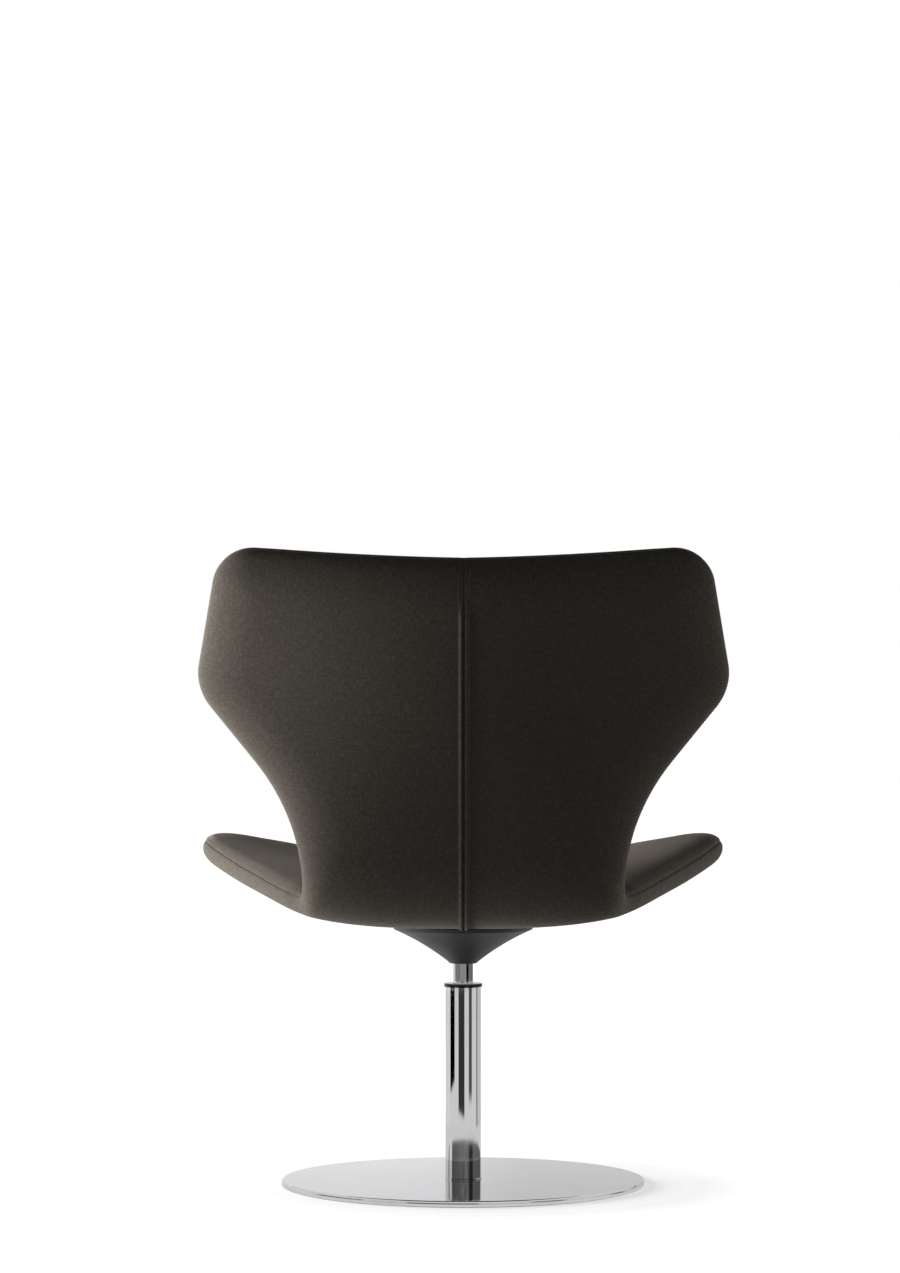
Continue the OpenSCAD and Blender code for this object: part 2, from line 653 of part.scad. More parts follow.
// Closed sheet between two faces of the shell. It takes cells [row, column] of a grid
// whose points are given for each face as grid[row][column]. Both faces split a cell along
// the same diagonal, and so do the layers above and below it, so that none cuts another.
// Cells before the middle column are split the other way, as in a mirror.
function flat_grid(g) = [for (r = g) each r];
function quad(a, b, c, d, mirrored = false) = mirrored ? [[b, c, d], [b, d, a]] : [[a, b, c], [a, c, d]];
module sheet(high, low, keep, middle_column = 0) {
    nr = len(high);
    nc = len(high[0]);
    under = nr * nc;
    function id(i, j) = i * nc + j;
    function has(i, j) = i >= 0 && j >= 0 && i < nr - 1 && j < nc - 1 && !(i >= keep[0] && i < keep[1] && j < keep[2]);
    faces = [for (i = [0:nr - 2], j = [0:nc - 2]) if (has(i, j))
        let(a = id(i, j), b = id(i + 1, j), c = id(i + 1, j + 1), d = id(i, j + 1))
        let(top = quad(a, b, c, d, j < middle_column))
        each concat(top, [for (f = top) [f[2] + under, f[1] + under, f[0] + under]],
            has(i, j - 1) ? [] : quad(a + under, b + under, b, a),
            has(i, j + 1) ? [] : quad(c + under, d + under, d, c),
            has(i - 1, j) ? [] : quad(d + under, a + under, a, d),
            has(i + 1, j) ? [] : quad(b + under, c + under, c, b))];
    polyhedron(points = concat(flat_grid(high), flat_grid(low)), faces = faces, convexity = 8);
}

// One half of the outer upholstery: foam and cover from the core to the outer face
module outer_half() {
    grid = [for (i = [0:len(rows) - 1]) let(xs = column_x(rows[i], seam_gap)) [for (j = [0:last_column])
        let(x = xs[j], s = rows[i], m = middle(x, s), n = normal(x, s), d = edge_distance(x, s),
            back = under_core(i, j) ? core_t / 2 + layer_gap : seam_gap)
        [m - n * back, m + n * outer_face(x, s, d)]]];
    sheet([for (r = grid) [for (p = r) p[0]]], [for (r = grid) [for (p = r) p[1]]],
        [window_row, window_row + 2, 3]);
}

module outer_cover_left() {
    color([0.24, 0.22, 0.2]) outer_half();
}

module outer_cover_right() {
    color([0.24, 0.22, 0.2]) mirror([1, 0, 0]) outer_half();
}

// Full-width columns, without the seam's own columns
function full_row(s, first, last) = let(xs = column_x(s, 0), half = [for (j = [first:last]) xs[j]])
    concat([for (k = [len(half) - 1:-1:0]) -half[k]], [0], half);

module inner_panel(from, to, from_gap, to_gap) {
    grid = [for (i = [from:to])
        let(s = rows[i] + (i == from ? from_gap : 0) - (i == to ? to_gap : 0), xs = full_row(s, 3, last_column))
        [for (k = [0:len(xs) - 1])
            let(x = xs[k], j = abs(k - (len(xs) - 1) / 2) + 2, m = middle(x, s), n = normal(x, s), d = edge_distance(x, s),
                back = under_core(i, j) ? core_t / 2 + layer_gap : seam_gap)
            [m + n * inner_face(x, s, d), m + n * back]]];
    sheet([for (r = grid) [for (p = r) p[0]]], [for (r = grid) [for (p = r) p[1]]],
        [0, 0, 0], (len(grid[0]) - 1) / 2);
}

module inner_seat_pad() {
    color([0.27, 0.25, 0.23]) inner_panel(0, notch_row, 0, seam_gap);
}

module inner_back_pad() {
    color([0.27, 0.25, 0.23]) inner_panel(notch_row, len(rows) - 1, seam_gap, 0);
}

// Moulded core shell that gives the chair its shape
module core_shell() {
    grid = [for (i = [core_row:len(rows) - 1 - core_row]) let(s = rows[i], xs = full_row(s, 3, core_column))
        [for (x = xs) let(m = middle(x, s), n = normal(x, s)) [m + n * core_t / 2, m - n * core_t / 2]]];
    color("gray") sheet([for (r = grid) [for (p = r) p[0]]], [for (r = grid) [for (p = r) p[1]]],
        [0, 0, 0], (len(grid[0]) - 1) / 2);
}

// Wedge-shaped block bonded under the core shell, which takes the threaded inserts
module mounting_block() {
    half = window_half - block_gap;
    xs = [for (k = [-3:3]) half * k / 3];
    ss = [axis_s - half, axis_s, axis_s + half];
    high = [for (s = ss) [for (x = xs) middle(x, s) - normal(x, s) * (core_t / 2 + layer_gap)]];
    low = [for (r = high) [for (p = r) [p[0], p[1], plate_top]]];
    color("burlywood") difference() {
        sheet(high, low, [0, 0, 0], (len(xs) - 1) / 2);
        at_bolts() translate([0, 0, plate_top - eps]) cylinder(d = insert_d + 2 * fit_gap, h = insert_l + 2 * eps);
    }
}

floor_ring();
base_disc();
base_screws();
column_foot();
column_tube();
lower_bush();
upper_bush();
column_cap();
thrust_race_lower();
ball_cage();
thrust_balls();
thrust_race_upper();
swivel_stem();
retaining_washer();
circlip();
seat_plate();
seat_bolts();
threaded_inserts();
grip_ring();
cone_cover();
mounting_block();
core_shell();
outer_cover_left();
outer_cover_right();
inner_seat_pad();
inner_back_pad();
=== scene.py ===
"""Swivel lounge chair: woven upholstery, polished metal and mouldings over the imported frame."""

import logging
import math
from collections.abc import Sequence
from dataclasses import dataclass, field
from enum import Enum

import bmesh
import bpy
import numpy as np
from mathutils import Matrix, Vector


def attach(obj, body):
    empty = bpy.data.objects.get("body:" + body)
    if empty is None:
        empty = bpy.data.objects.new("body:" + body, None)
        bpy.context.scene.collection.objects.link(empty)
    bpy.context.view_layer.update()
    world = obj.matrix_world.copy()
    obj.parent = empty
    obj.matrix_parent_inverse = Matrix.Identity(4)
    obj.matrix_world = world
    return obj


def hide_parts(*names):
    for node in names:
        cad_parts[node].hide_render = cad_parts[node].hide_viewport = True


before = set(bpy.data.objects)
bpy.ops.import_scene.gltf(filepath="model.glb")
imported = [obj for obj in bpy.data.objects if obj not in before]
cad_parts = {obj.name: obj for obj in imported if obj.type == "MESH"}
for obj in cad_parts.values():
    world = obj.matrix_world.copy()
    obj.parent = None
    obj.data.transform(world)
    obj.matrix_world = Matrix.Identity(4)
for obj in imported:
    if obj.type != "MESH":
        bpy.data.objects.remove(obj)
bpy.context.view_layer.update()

log = logging.getLogger("chair")
Pair = tuple[float, float]
Triple = tuple[float, float, float]
Colour = Triple
Place = Triple
Field = np.ndarray
Tree = bpy.types.NodeTree
Node = bpy.types.Node
Socket = bpy.types.NodeSocket

MM = 0.001
WELD = 1e-6
WHITE = (1.0, 1.0, 1.0)
QUARTER = math.pi / 2


# Sums


def ease(t: Field) -> Field:
    """Turns an even rise from 0 to 1 into one that starts and ends gently."""
    return t * t * (3 - 2 * t)


def quarter_steps(steps: int) -> Field:
    """Depths from 0 to 1 at even steps round a quarter circle."""
    return 1 - np.cos(np.linspace(0, QUARTER, steps + 1))


def fold_depth(near: Field) -> Field:
    """Depth of a rounded fold, 1 in the fold and 0 where it ends, at near = 1."""
    return 1 - np.sqrt(1 - (1 - near) ** 2)


def travelled(points: Field) -> Field:
    """Distance along a line of points, at each of them."""
    return np.concatenate([[0.0], np.cumsum(np.linalg.norm(np.diff(points, axis=0), axis=-1))])


# Shader tools


class Wiring:
    """Short calls for adding and joining the nodes of one shader tree."""

    def __init__(self, tree: Tree) -> None:
        """Keeps the tree that the nodes go into."""
        self.tree = tree

    def feed(self, socket: Socket, value: object) -> None:
        """Gives an input its value.

        Args:
            socket: the input.
            value: another node's output, a number, or a colour of three numbers.
        """
        if isinstance(value, bpy.types.NodeSocket):
            self.tree.links.new(value, socket)
        elif socket.type == "RGBA":
            socket.default_value = (*value, 1.0)
        else:
            socket.default_value = value

    def add(self, kind: str, inputs: dict[str | int, object] | None = None, **settings: object) -> Node:
        """Adds a node.

        Args:
            kind: the node's type, without its ShaderNode prefix.
            inputs: a value or an output for each input, by its name or number.
            settings: the node's own settings.

        Returns:
            The new node.
        """
        node = self.tree.nodes.new("ShaderNode" + kind)
        for key, value in settings.items():
            setattr(node, key, value)
        for key, value in (inputs or {}).items():
            self.feed(node.inputs[key], value)
        return node

    def math(self, operation: str, *values: object, clamp: bool = False) -> Socket:
        """Adds a Math node and returns its output."""
        return self.add("Math", dict(enumerate(values)), operation=operation, use_clamp=clamp).outputs[0]

    def noise(self, vector: Socket, scale: float, detail: float = 2.0, roughness: float = 0.5) -> Socket:
        """Adds a Noise Texture and returns its value, about 0.3 to 0.7."""
        inputs = {"Vector": vector, "Scale": scale, "Detail": detail, "Roughness": roughness}
        return self.add("TexNoise", inputs).outputs[0]

    def place(self) -> Socket:
        """Adds the object's own coordinates."""
        return self.add("TexCoord").outputs["Object"]

    def stretched(self, vector: Socket, scale: Triple) -> Socket:
        """Adds a Mapping node that scales a pattern differently along each axis."""
        return self.add("Mapping", {"Vector": vector, "Scale": scale}).outputs[0]

    def spread(
        self, value: Socket, low: float, high: float, to_low: float = 0.0, to_high: float = 1.0
    ) -> Socket:
        """Adds a smooth Map Range node from low and high to two new ends."""
        inputs = {"Value": value, "From Min": low, "From Max": high, "To Min": to_low, "To Max": to_high}
        return self.add("MapRange", inputs, interpolation_type="SMOOTHSTEP").outputs[0]

    def band(self, value: Socket, rise: Pair, fall: Pair) -> Socket:
        """Adds a mask that rises from 0 to 1 over one range and falls again over another."""
        return self.math("MULTIPLY", self.spread(value, *rise), self.spread(value, *fall, 1.0, 0.0))

    def blend(self, factor: object, first: object, second: object) -> Socket:
        """Adds a Mix node for two numbers."""
        return self.add("Mix", {0: factor, 2: first, 3: second}).outputs[0]

    def tint(self, factor: object, first: object, second: object) -> Socket:
        """Adds a Mix node for two colours."""
        return self.add("Mix", {0: factor, 6: first, 7: second}, data_type="RGBA").outputs[2]


class Group(Enum):
    """The shader node groups that several materials share."""

    WEAVE = "plain_weave"
    GRAIN = "moulded_grain"
    HANDLING = "handling_marks"


class GroupShelf:
    """Builds each shared node group once and places it in materials."""

    def __init__(self) -> None:
        """Starts with an empty shelf."""
        self.built: dict[Group, Tree] = {}

    def place(self, wiring: Wiring, group: Group, inputs: dict[str, object]) -> Node:
        """Places a group in a material.

        Args:
            wiring: the material's wiring.
            group: which group.
            inputs: a value or an output for each named input.

        Returns:
            The group's node.
        """
        if group not in self.built:
            makers = {Group.WEAVE: self.weave, Group.GRAIN: self.grain, Group.HANDLING: self.handling}
            self.built[group] = makers[group]()
        return wiring.add("Group", inputs, node_tree=self.built[group])

    def start(
        self, group: Group, inputs: dict[str, float | None], outputs: Sequence[str]
    ) -> tuple[Wiring, Node, Node]:
        """Starts a group's tree.

        Args:
            group: which group.
            inputs: the default of each input, or None for a vector.
            outputs: the names of its values.

        Returns:
            Its wiring, its input node and its output node.
        """
        tree = bpy.data.node_groups.new(group.value, "ShaderNodeTree")
        for name, value in inputs.items():
            kind = "NodeSocketVector" if value is None else "NodeSocketFloat"
            socket = tree.interface.new_socket(name=name, in_out="INPUT", socket_type=kind)
            if value is not None:
                socket.default_value = value
        for name in outputs:
            tree.interface.new_socket(name=name, in_out="OUTPUT", socket_type="NodeSocketFloat")
        return Wiring(tree), tree.nodes.new("NodeGroupInput"), tree.nodes.new("NodeGroupOutput")

    def end(self, w: Wiring, out: Node, *values: Socket) -> Tree:
        """Ends a group's tree.

        Args:
            w: its wiring.
            out: its output node.
            values: what goes to each output, in their order.

        Returns:
            The group.
        """
        for socket, value in zip(out.inputs, values):
            w.feed(socket, value)
        return w.tree

    def weave(self) -> Tree:
        """Builds the plain weave: threads that pass over and under each other, some of them thicker.

        Returns:
            The group, with outputs Height, Warp (1 on an upper warp thread) and Slub (thread thickness).
        """
        inputs = {"Vector": None, "Threads": 900.0}
        w, source, out = self.start(Group.WEAVE, inputs, ("Height", "Warp", "Slub"))
        vector, threads = source.outputs["Vector"], source.outputs["Threads"]
        sway = w.noise(w.stretched(vector, (90.0, 90.0, 90.0)), 1.0)
        sway = w.math("MULTIPLY", w.math("SUBTRACT", sway, 0.5), 0.9)
        parts = w.add("SeparateXYZ", {0: vector}).outputs[:2]
        places = [w.math("ADD", w.math("MULTIPLY", part, threads), sway) for part in parts]
        warp, weft = (w.math("SINE", w.math("MULTIPLY", place, math.pi)) for place in places)
        over = w.spread(w.math("MULTIPLY", warp, weft), -0.12, 0.12)
        warp_top, weft_top = w.math("ABSOLUTE", warp), w.math("ABSOLUTE", weft)
        upper = w.math("MULTIPLY", warp_top, w.math("MULTIPLY_ADD", weft_top, 0.45, 0.55))
        lower = w.math("MULTIPLY", weft_top, w.math("MULTIPLY_ADD", warp_top, 0.45, 0.55))
        height = w.blend(over, lower, upper)
        lengthwise, crosswise = (430.0, 115.0, 1.0), (115.0, 430.0, 1.0)
        thick = [w.noise(w.stretched(vector, scale), 1.0, 2.0, 0.6) for scale in (lengthwise, crosswise)]
        slub = w.spread(w.math("MAXIMUM", *thick), 0.42, 0.74)
        height = w.math("MULTIPLY", height, w.math("MULTIPLY_ADD", slub, 0.5, 0.75))
        return self.end(w, out, height, over, slub)

    def grain(self) -> Tree:
        """Builds the fine grain of a moulded surface, with outputs Height and Patches.

        Returns:
            The group.
        """
        w, source, out = self.start(Group.GRAIN, {"Vector": None, "Grain": 1400.0}, ("Height", "Patches"))
        vector = source.outputs["Vector"]
        inputs = {"Vector": vector, "Scale": source.outputs["Grain"]}
        cells = w.add("TexVoronoi", inputs, feature="SMOOTH_F1").outputs["Distance"]
        fine = w.noise(vector, 3000.0, 2.0)
        patches = w.spread(w.noise(vector, 18.0, 4.0, 0.6), 0.35, 0.68)
        return self.end(w, out, w.math("MULTIPLY_ADD", fine, 0.4, cells), patches)

    def handling(self) -> Tree:
        """Builds the faint marks of handling and wiping, with outputs Smudge and Scratch.

        Returns:
            The group.
        """
        w, source, out = self.start(Group.HANDLING, {"Vector": None, "Scale": 1.0}, ("Smudge", "Scratch"))
        inputs = {0: source.outputs["Vector"], 3: source.outputs["Scale"]}
        vector = w.add("VectorMath", inputs, operation="SCALE").outputs[0]
        smudge = w.spread(w.noise(vector, 14.0, 5.0, 0.62), 0.42, 0.72)
        turned = w.add("VectorRotate", {"Vector": vector, "Angle": 0.7}, rotation_type="Z_AXIS").outputs[0]
        lines = w.noise(w.stretched(turned, (900.0, 16.0, 900.0)), 1.0, 2.0)
        again = w.noise(w.stretched(vector, (14.0, 1100.0, 1100.0)), 1.0, 2.0)
        scratch = w.spread(w.math("MAXIMUM", lines, again), 0.66, 0.8)
        return self.end(w, out, smudge, scratch)


SHELF = GroupShelf()


# Finishes


class Paint(Wiring):
    """The wiring of one material with a Principled BSDF."""

    def __init__(self, name: str, **constants: object) -> None:
        """Makes the material.

        Args:
            name: its name.
            constants: numbers and colours for the shader's own sockets, named as drive takes them.
        """
        self.material = bpy.data.materials.new(name)
        self.material.use_nodes = True
        super().__init__(self.material.node_tree)
        self.shader = self.tree.nodes["Principled BSDF"]
        self.drive(**constants)

    def surface(self, output: Socket) -> None:
        """Makes an output the surface of the material."""
        self.feed(self.tree.nodes["Material Output"].inputs["Surface"], output)

    def drive(self, **values: object) -> None:
        """Feeds the shader's sockets, with _ for each space in a name."""
        for key, value in values.items():
            self.feed(self.shader.inputs[key.replace("_", " ")], value)

    def marks(self, scale: float) -> tuple[Socket, Socket]:
        """Adds the marks of handling and returns their smudges and their scratches."""
        node = SHELF.place(self, Group.HANDLING, {"Vector": self.place(), "Scale": scale})
        return node.outputs["Smudge"], node.outputs["Scratch"]

    def relief(self, height: Socket, distance: float, strength: float) -> bpy.types.Material:
        """Adds the relief of the surface.

        Args:
            height: its height.
            distance: metres for a height of 1.
            strength: how strongly it shows.

        Returns:
            The finished material.
        """
        bump = self.add("Bump", {"Strength": strength, "Distance": distance, "Height": height})
        self.drive(Normal=bump.outputs[0])
        return self.material


def scaled(colour: Colour, share: float) -> Colour:
    """Makes a colour darker or lighter."""
    return tuple(min(1.0, share * part) for part in colour)


@dataclass(frozen=True)
class WovenCloth:
    """Plain-woven upholstery cloth with slubbed threads, puckered along its seams."""

    name: str = "taupe_weave"
    dark: Colour = (0.034, 0.0293, 0.0244)
    light: Colour = (0.068, 0.0602, 0.0512)
    sheen: Colour = (0.95, 0.85, 0.75)
    threads: float = 900.0
    thread_height: float = 0.2 * MM
    pucker_pitch: float = 4.0 * MM
    pucker_height: float = 0.16 * MM
    pucker_reach: float = 5.0 * MM

    def material(self) -> bpy.types.Material:
        """Builds the cloth on the weave map and the seam attributes of a panel, with painted shade between
        its threads.

        Returns:
            The material.
        """
        w = Paint(
            self.name, Specular_IOR_Level=0.02, Sheen_Weight=0.15, Sheen_Roughness=0.4, Sheen_Tint=self.sheen)
        lay = w.add("UVMap", uv_map="weave").outputs[0]
        weave = SHELF.place(w, Group.WEAVE, {"Vector": lay, "Threads": self.threads})
        high = weave.outputs["Height"]
        # Thread height lightens the colour: raised thread tops are painted lighter and the gaps between
        # threads darker, as painted shade; the slubs and the upper warp threads add their own lighter tone.
        tone = w.math("MULTIPLY_ADD", weave.outputs["Slub"], 0.42, w.math("MULTIPLY", high, 0.5))
        tone = w.math("MULTIPLY_ADD", weave.outputs["Warp"], 0.1, tone, clamp=True)
        w.drive(
            Base_Color=w.tint(tone, self.dark, self.light), Roughness=w.spread(high, 0.0, 1.0, 0.98, 0.84))
        near = w.add("Attribute", attribute_name="seam_distance").outputs["Fac"]
        run = w.add("Attribute", attribute_name="seam_run").outputs["Fac"]
        fade = w.math("EXPONENT", w.math("DIVIDE", near, -self.pucker_reach))
        ripple = w.math("COSINE", w.math("MULTIPLY", run, 2 * math.pi / self.pucker_pitch))
        pucker = w.math("MULTIPLY", w.math("MULTIPLY", ripple, fade), self.pucker_height)
        return w.relief(w.math("MULTIPLY_ADD", high, self.thread_height, pucker), 1.0, 1.0)


@dataclass(frozen=True)
class SewingThread:
    """Twisted sewing thread in the colour of the cloth."""

    name: str = "taupe_thread"
    dark: Colour = (0.04, 0.036, 0.031)
    light: Colour = (0.085, 0.077, 0.067)

    def material(self) -> bpy.types.Material:
        """Builds the thread with its ply as fine bands, painted darker in the grooves of the twist and
        lighter on its crests as painted shade.

        Returns:
            The material.
        """
        w = Paint(self.name, Roughness=0.6, Specular_IOR_Level=0.35, Sheen_Weight=0.2, Sheen_Roughness=0.5)
        inputs = {"Vector": w.place(), "Scale": 900.0, "Distortion": 1.5}
        ply = w.add("TexWave", inputs, bands_direction="DIAGONAL").outputs["Fac"]
        # Painted shade: the ply bands darken the grooves of the twist and lighten its crests.
        w.drive(Base_Color=w.tint(ply, self.dark, self.light))
        return w.relief(ply, 0.1 * MM, 0.6)


@dataclass(frozen=True)
class PolishedMetal:
    """Polished plating with faint smudges and hairlines."""

    name: str
    colour: Colour = (0.62, 0.62, 0.63)
    edge: Colour = (0.86, 0.86, 0.87)
    roughness: float = 0.05
    smudged: float = 0.06
    scratched: float = 0.04
    dulled: float = 0.93

    def material(self) -> bpy.types.Material:
        """Builds the plating on object coordinates.

        Returns:
            The material.
        """
        w = Paint(self.name, Metallic=1.0, Specular_Tint=self.edge)
        smudge, scratch = w.marks(1.0)
        rough = w.math("MULTIPLY_ADD", smudge, self.smudged, self.roughness)
        w.drive(
            Base_Color=w.tint(smudge, self.colour, scaled(self.colour, self.dulled)),
            Roughness=w.math("MULTIPLY_ADD", scratch, self.scratched, rough))
        return w.relief(scratch, 0.01 * MM, 0.15)


@dataclass(frozen=True)
class TurnedMetal:
    """Plain machined metal with the rings that a lathe leaves."""

    name: str
    colour: Colour
    roughness: float = 0.32
    darkened: float = 0.72

    def material(self) -> bpy.types.Material:
        """Builds the metal on object coordinates.

        Returns:
            The material.
        """
        w = Paint(self.name, Metallic=1.0)
        rings = w.noise(w.stretched(w.place(), (60.0, 60.0, 2600.0)), 1.0, 2.0)
        w.drive(
            Base_Color=w.tint(w.marks(2.0)[0], self.colour, scaled(self.colour, self.darkened)),
            Roughness=w.math("MULTIPLY_ADD", rings, 0.25, self.roughness - 0.1))
        return w.relief(rings, 0.02 * MM, 0.3)


@dataclass(frozen=True)
class Moulding:
    """Moulded plastic, rubber or powder coat with a fine grain."""

    name: str
    colour: Colour
    roughness: float = 0.5
    grain: float = 1400.0
    grain_height: float = 0.03 * MM
    specular: float = 0.5
    worn: float = 1.22

    def material(self) -> bpy.types.Material:
        """Builds the moulding on object coordinates.

        Returns:
            The material.
        """
        w = Paint(self.name, Specular_IOR_Level=self.specular)
        skin = SHELF.place(w, Group.GRAIN, {"Vector": w.place(), "Grain": self.grain})
        smudge, scratch = w.marks(1.6)
        rough = w.math("MULTIPLY_ADD", smudge, 0.08, self.roughness)
        w.drive(
            Base_Color=w.tint(skin.outputs["Patches"], self.colour, scaled(self.colour, self.worn)),
            Roughness=w.math("MULTIPLY_ADD", scratch, -0.05, rough))
        return w.relief(skin.outputs["Height"], self.grain_height, 0.5)


@dataclass(frozen=True)
class Plywood:
    """Birch plywood, with plies on its edges and grain along x."""

    name: str = "birch_plywood"
    pale: Colour = (0.62, 0.45, 0.27)
    deep: Colour = (0.4, 0.26, 0.14)
    ply: float = 1.5 * MM

    def material(self) -> bpy.types.Material:
        """Builds the plywood on object coordinates.

        Returns:
            The material.
        """
        w = Paint(self.name, Roughness=0.62)
        place = w.place()
        height = w.add("SeparateXYZ", {0: place}).outputs[2]
        plies = w.math("PINGPONG", height, self.ply)
        plies = w.spread(w.math("DIVIDE", plies, self.ply), 0.4, 0.6)
        fibre = w.noise(w.stretched(place, (12.0, 420.0, 420.0)), 1.0, 4.0, 0.65)
        tone = w.math("MULTIPLY_ADD", fibre, 0.7, w.math("MULTIPLY", plies, 0.3))
        w.drive(Base_Color=w.tint(tone, self.pale, self.deep))
        return w.relief(fibre, 0.1 * MM, 0.4)


class Finish(Enum):
    """Each finish on the chair, with the record's slot that it stands for."""

    CLOTH = ("fabric", WovenCloth())
    THREAD = ("fabric", SewingThread())
    PLATING = ("chrome", PolishedMetal("polished_plating"))
    STEEL = ("steel", TurnedMetal("turned_steel", (0.5, 0.5, 0.51)))
    BRASS = ("brass", TurnedMetal("plain_brass", (0.68, 0.48, 0.2), 0.36))
    COATED_STEEL = ("black_steel", Moulding("black_powder_coat", (0.018, 0.018, 0.019), 0.48, 900.0))
    STEM_STEEL = ("chrome", PolishedMetal("stem_plating", (0.62, 0.62, 0.63), (0.86, 0.86, 0.87), 0.03, 0.03))
    CAP_PLASTIC = (
        "cap_plastic",
        Moulding("polished_black_plastic", (0.004, 0.004, 0.0045), 0.1, 2200.0, 0.001 * MM, 0.3))
    COVER_PLASTIC = (
        "cover_plastic",
        Moulding("charcoal_moulding", (0.03, 0.0305, 0.032), 0.55, 1500.0, specular=0.35))
    CORE_PLASTIC = ("core", Moulding("grey_core_plastic", (0.08, 0.08, 0.085), 0.6, 700.0))
    BUSH_PLASTIC = ("bush", Moulding("natural_acetal", (0.7, 0.67, 0.58), 0.4, 900.0))
    RUBBER = ("rubber_ring", Moulding("soft_rubber", (0.022, 0.022, 0.024), 0.8, 1100.0))
    WOOD = ("block", Plywood())

    def __init__(self, slot: str, recipe: object) -> None:
        """Keeps the record's slot and the recipe, which has a material method."""
        self.slot = slot
        self.recipe = recipe

    @property
    def material(self) -> bpy.types.Material:
        """The finish's material, built when it is first asked for."""
        return bpy.data.materials.get(self.recipe.name) or self.recipe.material()


# Mesh tools


def shown(name: str, data: bpy.types.ID) -> bpy.types.Object:
    """Makes an object of a mesh, curve, lamp or camera and links it to the scene.

    Args:
        name: its name.
        data: the mesh, curve, lamp or camera.

    Returns:
        The object.
    """
    item = bpy.data.objects.new(name, data)
    bpy.context.scene.collection.objects.link(item)
    return item


def as_mesh(name: str, bm: bmesh.types.BMesh) -> bpy.types.Mesh:
    """Turns a bmesh into a mesh and frees it.

    Args:
        name: the name of the mesh.
        bm: the bmesh.

    Returns:
        The mesh.
    """
    mesh = bpy.data.meshes.new(name)
    bm.to_mesh(mesh)
    bm.free()
    return mesh


def evaluated_mesh(item: bpy.types.Object) -> bpy.types.Mesh:
    """Makes a mesh of an object with its modifiers."""
    return bpy.data.meshes.new_from_object(item.evaluated_get(bpy.context.evaluated_depsgraph_get()))


def verts_of(result: dict[str, list]) -> list[bmesh.types.BMVert]:
    """Picks the vertices out of what a bmesh operator made."""
    return [v for v in result["geom"] if isinstance(v, bmesh.types.BMVert)]


def block(columns: int, rows: int) -> bmesh.types.BMesh:
    """Makes a closed unit block with a grid on its two large faces, centred on the z axis.

    Args:
        columns: how many faces it has along x.
        rows: how many it has along y.

    Returns:
        The block, from 0 to 1 in height.
    """
    bm = bmesh.new()
    bmesh.ops.create_grid(bm, x_segments=columns, y_segments=rows, size=0.5)
    grown = bmesh.ops.extrude_face_region(bm, geom=bm.faces[:])
    bmesh.ops.translate(bm, verts=verts_of(grown), vec=(0, 0, 1))
    return bm


def move_verts(bm: bmesh.types.BMesh, points: Field) -> None:
    """Gives each vertex its new place."""
    for vertex, point in zip(bm.verts, points):
        vertex.co = point


def settle(
    name: str, bm: bmesh.types.BMesh, finish: Finish, body: str, crease: float
) -> bpy.types.Object:
    """Turns a finished bmesh into a piece of the chair, smooth up to its sharp edges, and reports it.

    Args:
        name: the piece's name.
        bm: its mesh, which is freed.
        finish: its finish.
        body: the body that it rides on.
        crease: the angle in degrees from which an edge stays sharp.

    Returns:
        The piece.
    """
    bmesh.ops.remove_doubles(bm, verts=bm.verts, dist=WELD)
    bmesh.ops.recalc_face_normals(bm, faces=bm.faces)
    for edge in bm.edges:
        edge.smooth = edge.calc_face_angle(0.0) < math.radians(crease)
    for face in bm.faces:
        face.smooth = True
    piece = shown(name, as_mesh(name, bm))
    piece.data.materials.append(finish.material)
    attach(piece, body)
    log.info("%s: %d faces", name, len(piece.data.polygons))
    return piece


def lathe(profile: Sequence[Pair], steps: int) -> bmesh.types.BMesh:
    """Spins a closed profile round the vertical axis.

    Args:
        profile: radius and height of each corner, in order.
        steps: how many steps go round.

    Returns:
        The turned mesh.
    """
    bm = bmesh.new()
    corners = [bm.verts.new((r, 0.0, z)) for r, z in profile]
    edges = [bm.edges.new((a, b)) for a, b in zip(corners, corners[1:] + corners[:1])]
    bmesh.ops.spin(bm, geom=corners + edges, axis=(0, 0, 1), angle=2 * math.pi, steps=steps, use_merge=True)
    bmesh.ops.remove_doubles(bm, verts=bm.verts, dist=WELD)
    return bm


def arc(centre: Pair, radius: float, start: float, end: float, steps: int) -> list[Pair]:
    """Points on an arc, from one angle in degrees to another."""
    angles = np.radians(np.linspace(start, end, steps + 1))
    return [(centre[0] + radius * math.cos(a), centre[1] + radius * math.sin(a)) for a in angles]


# Shell


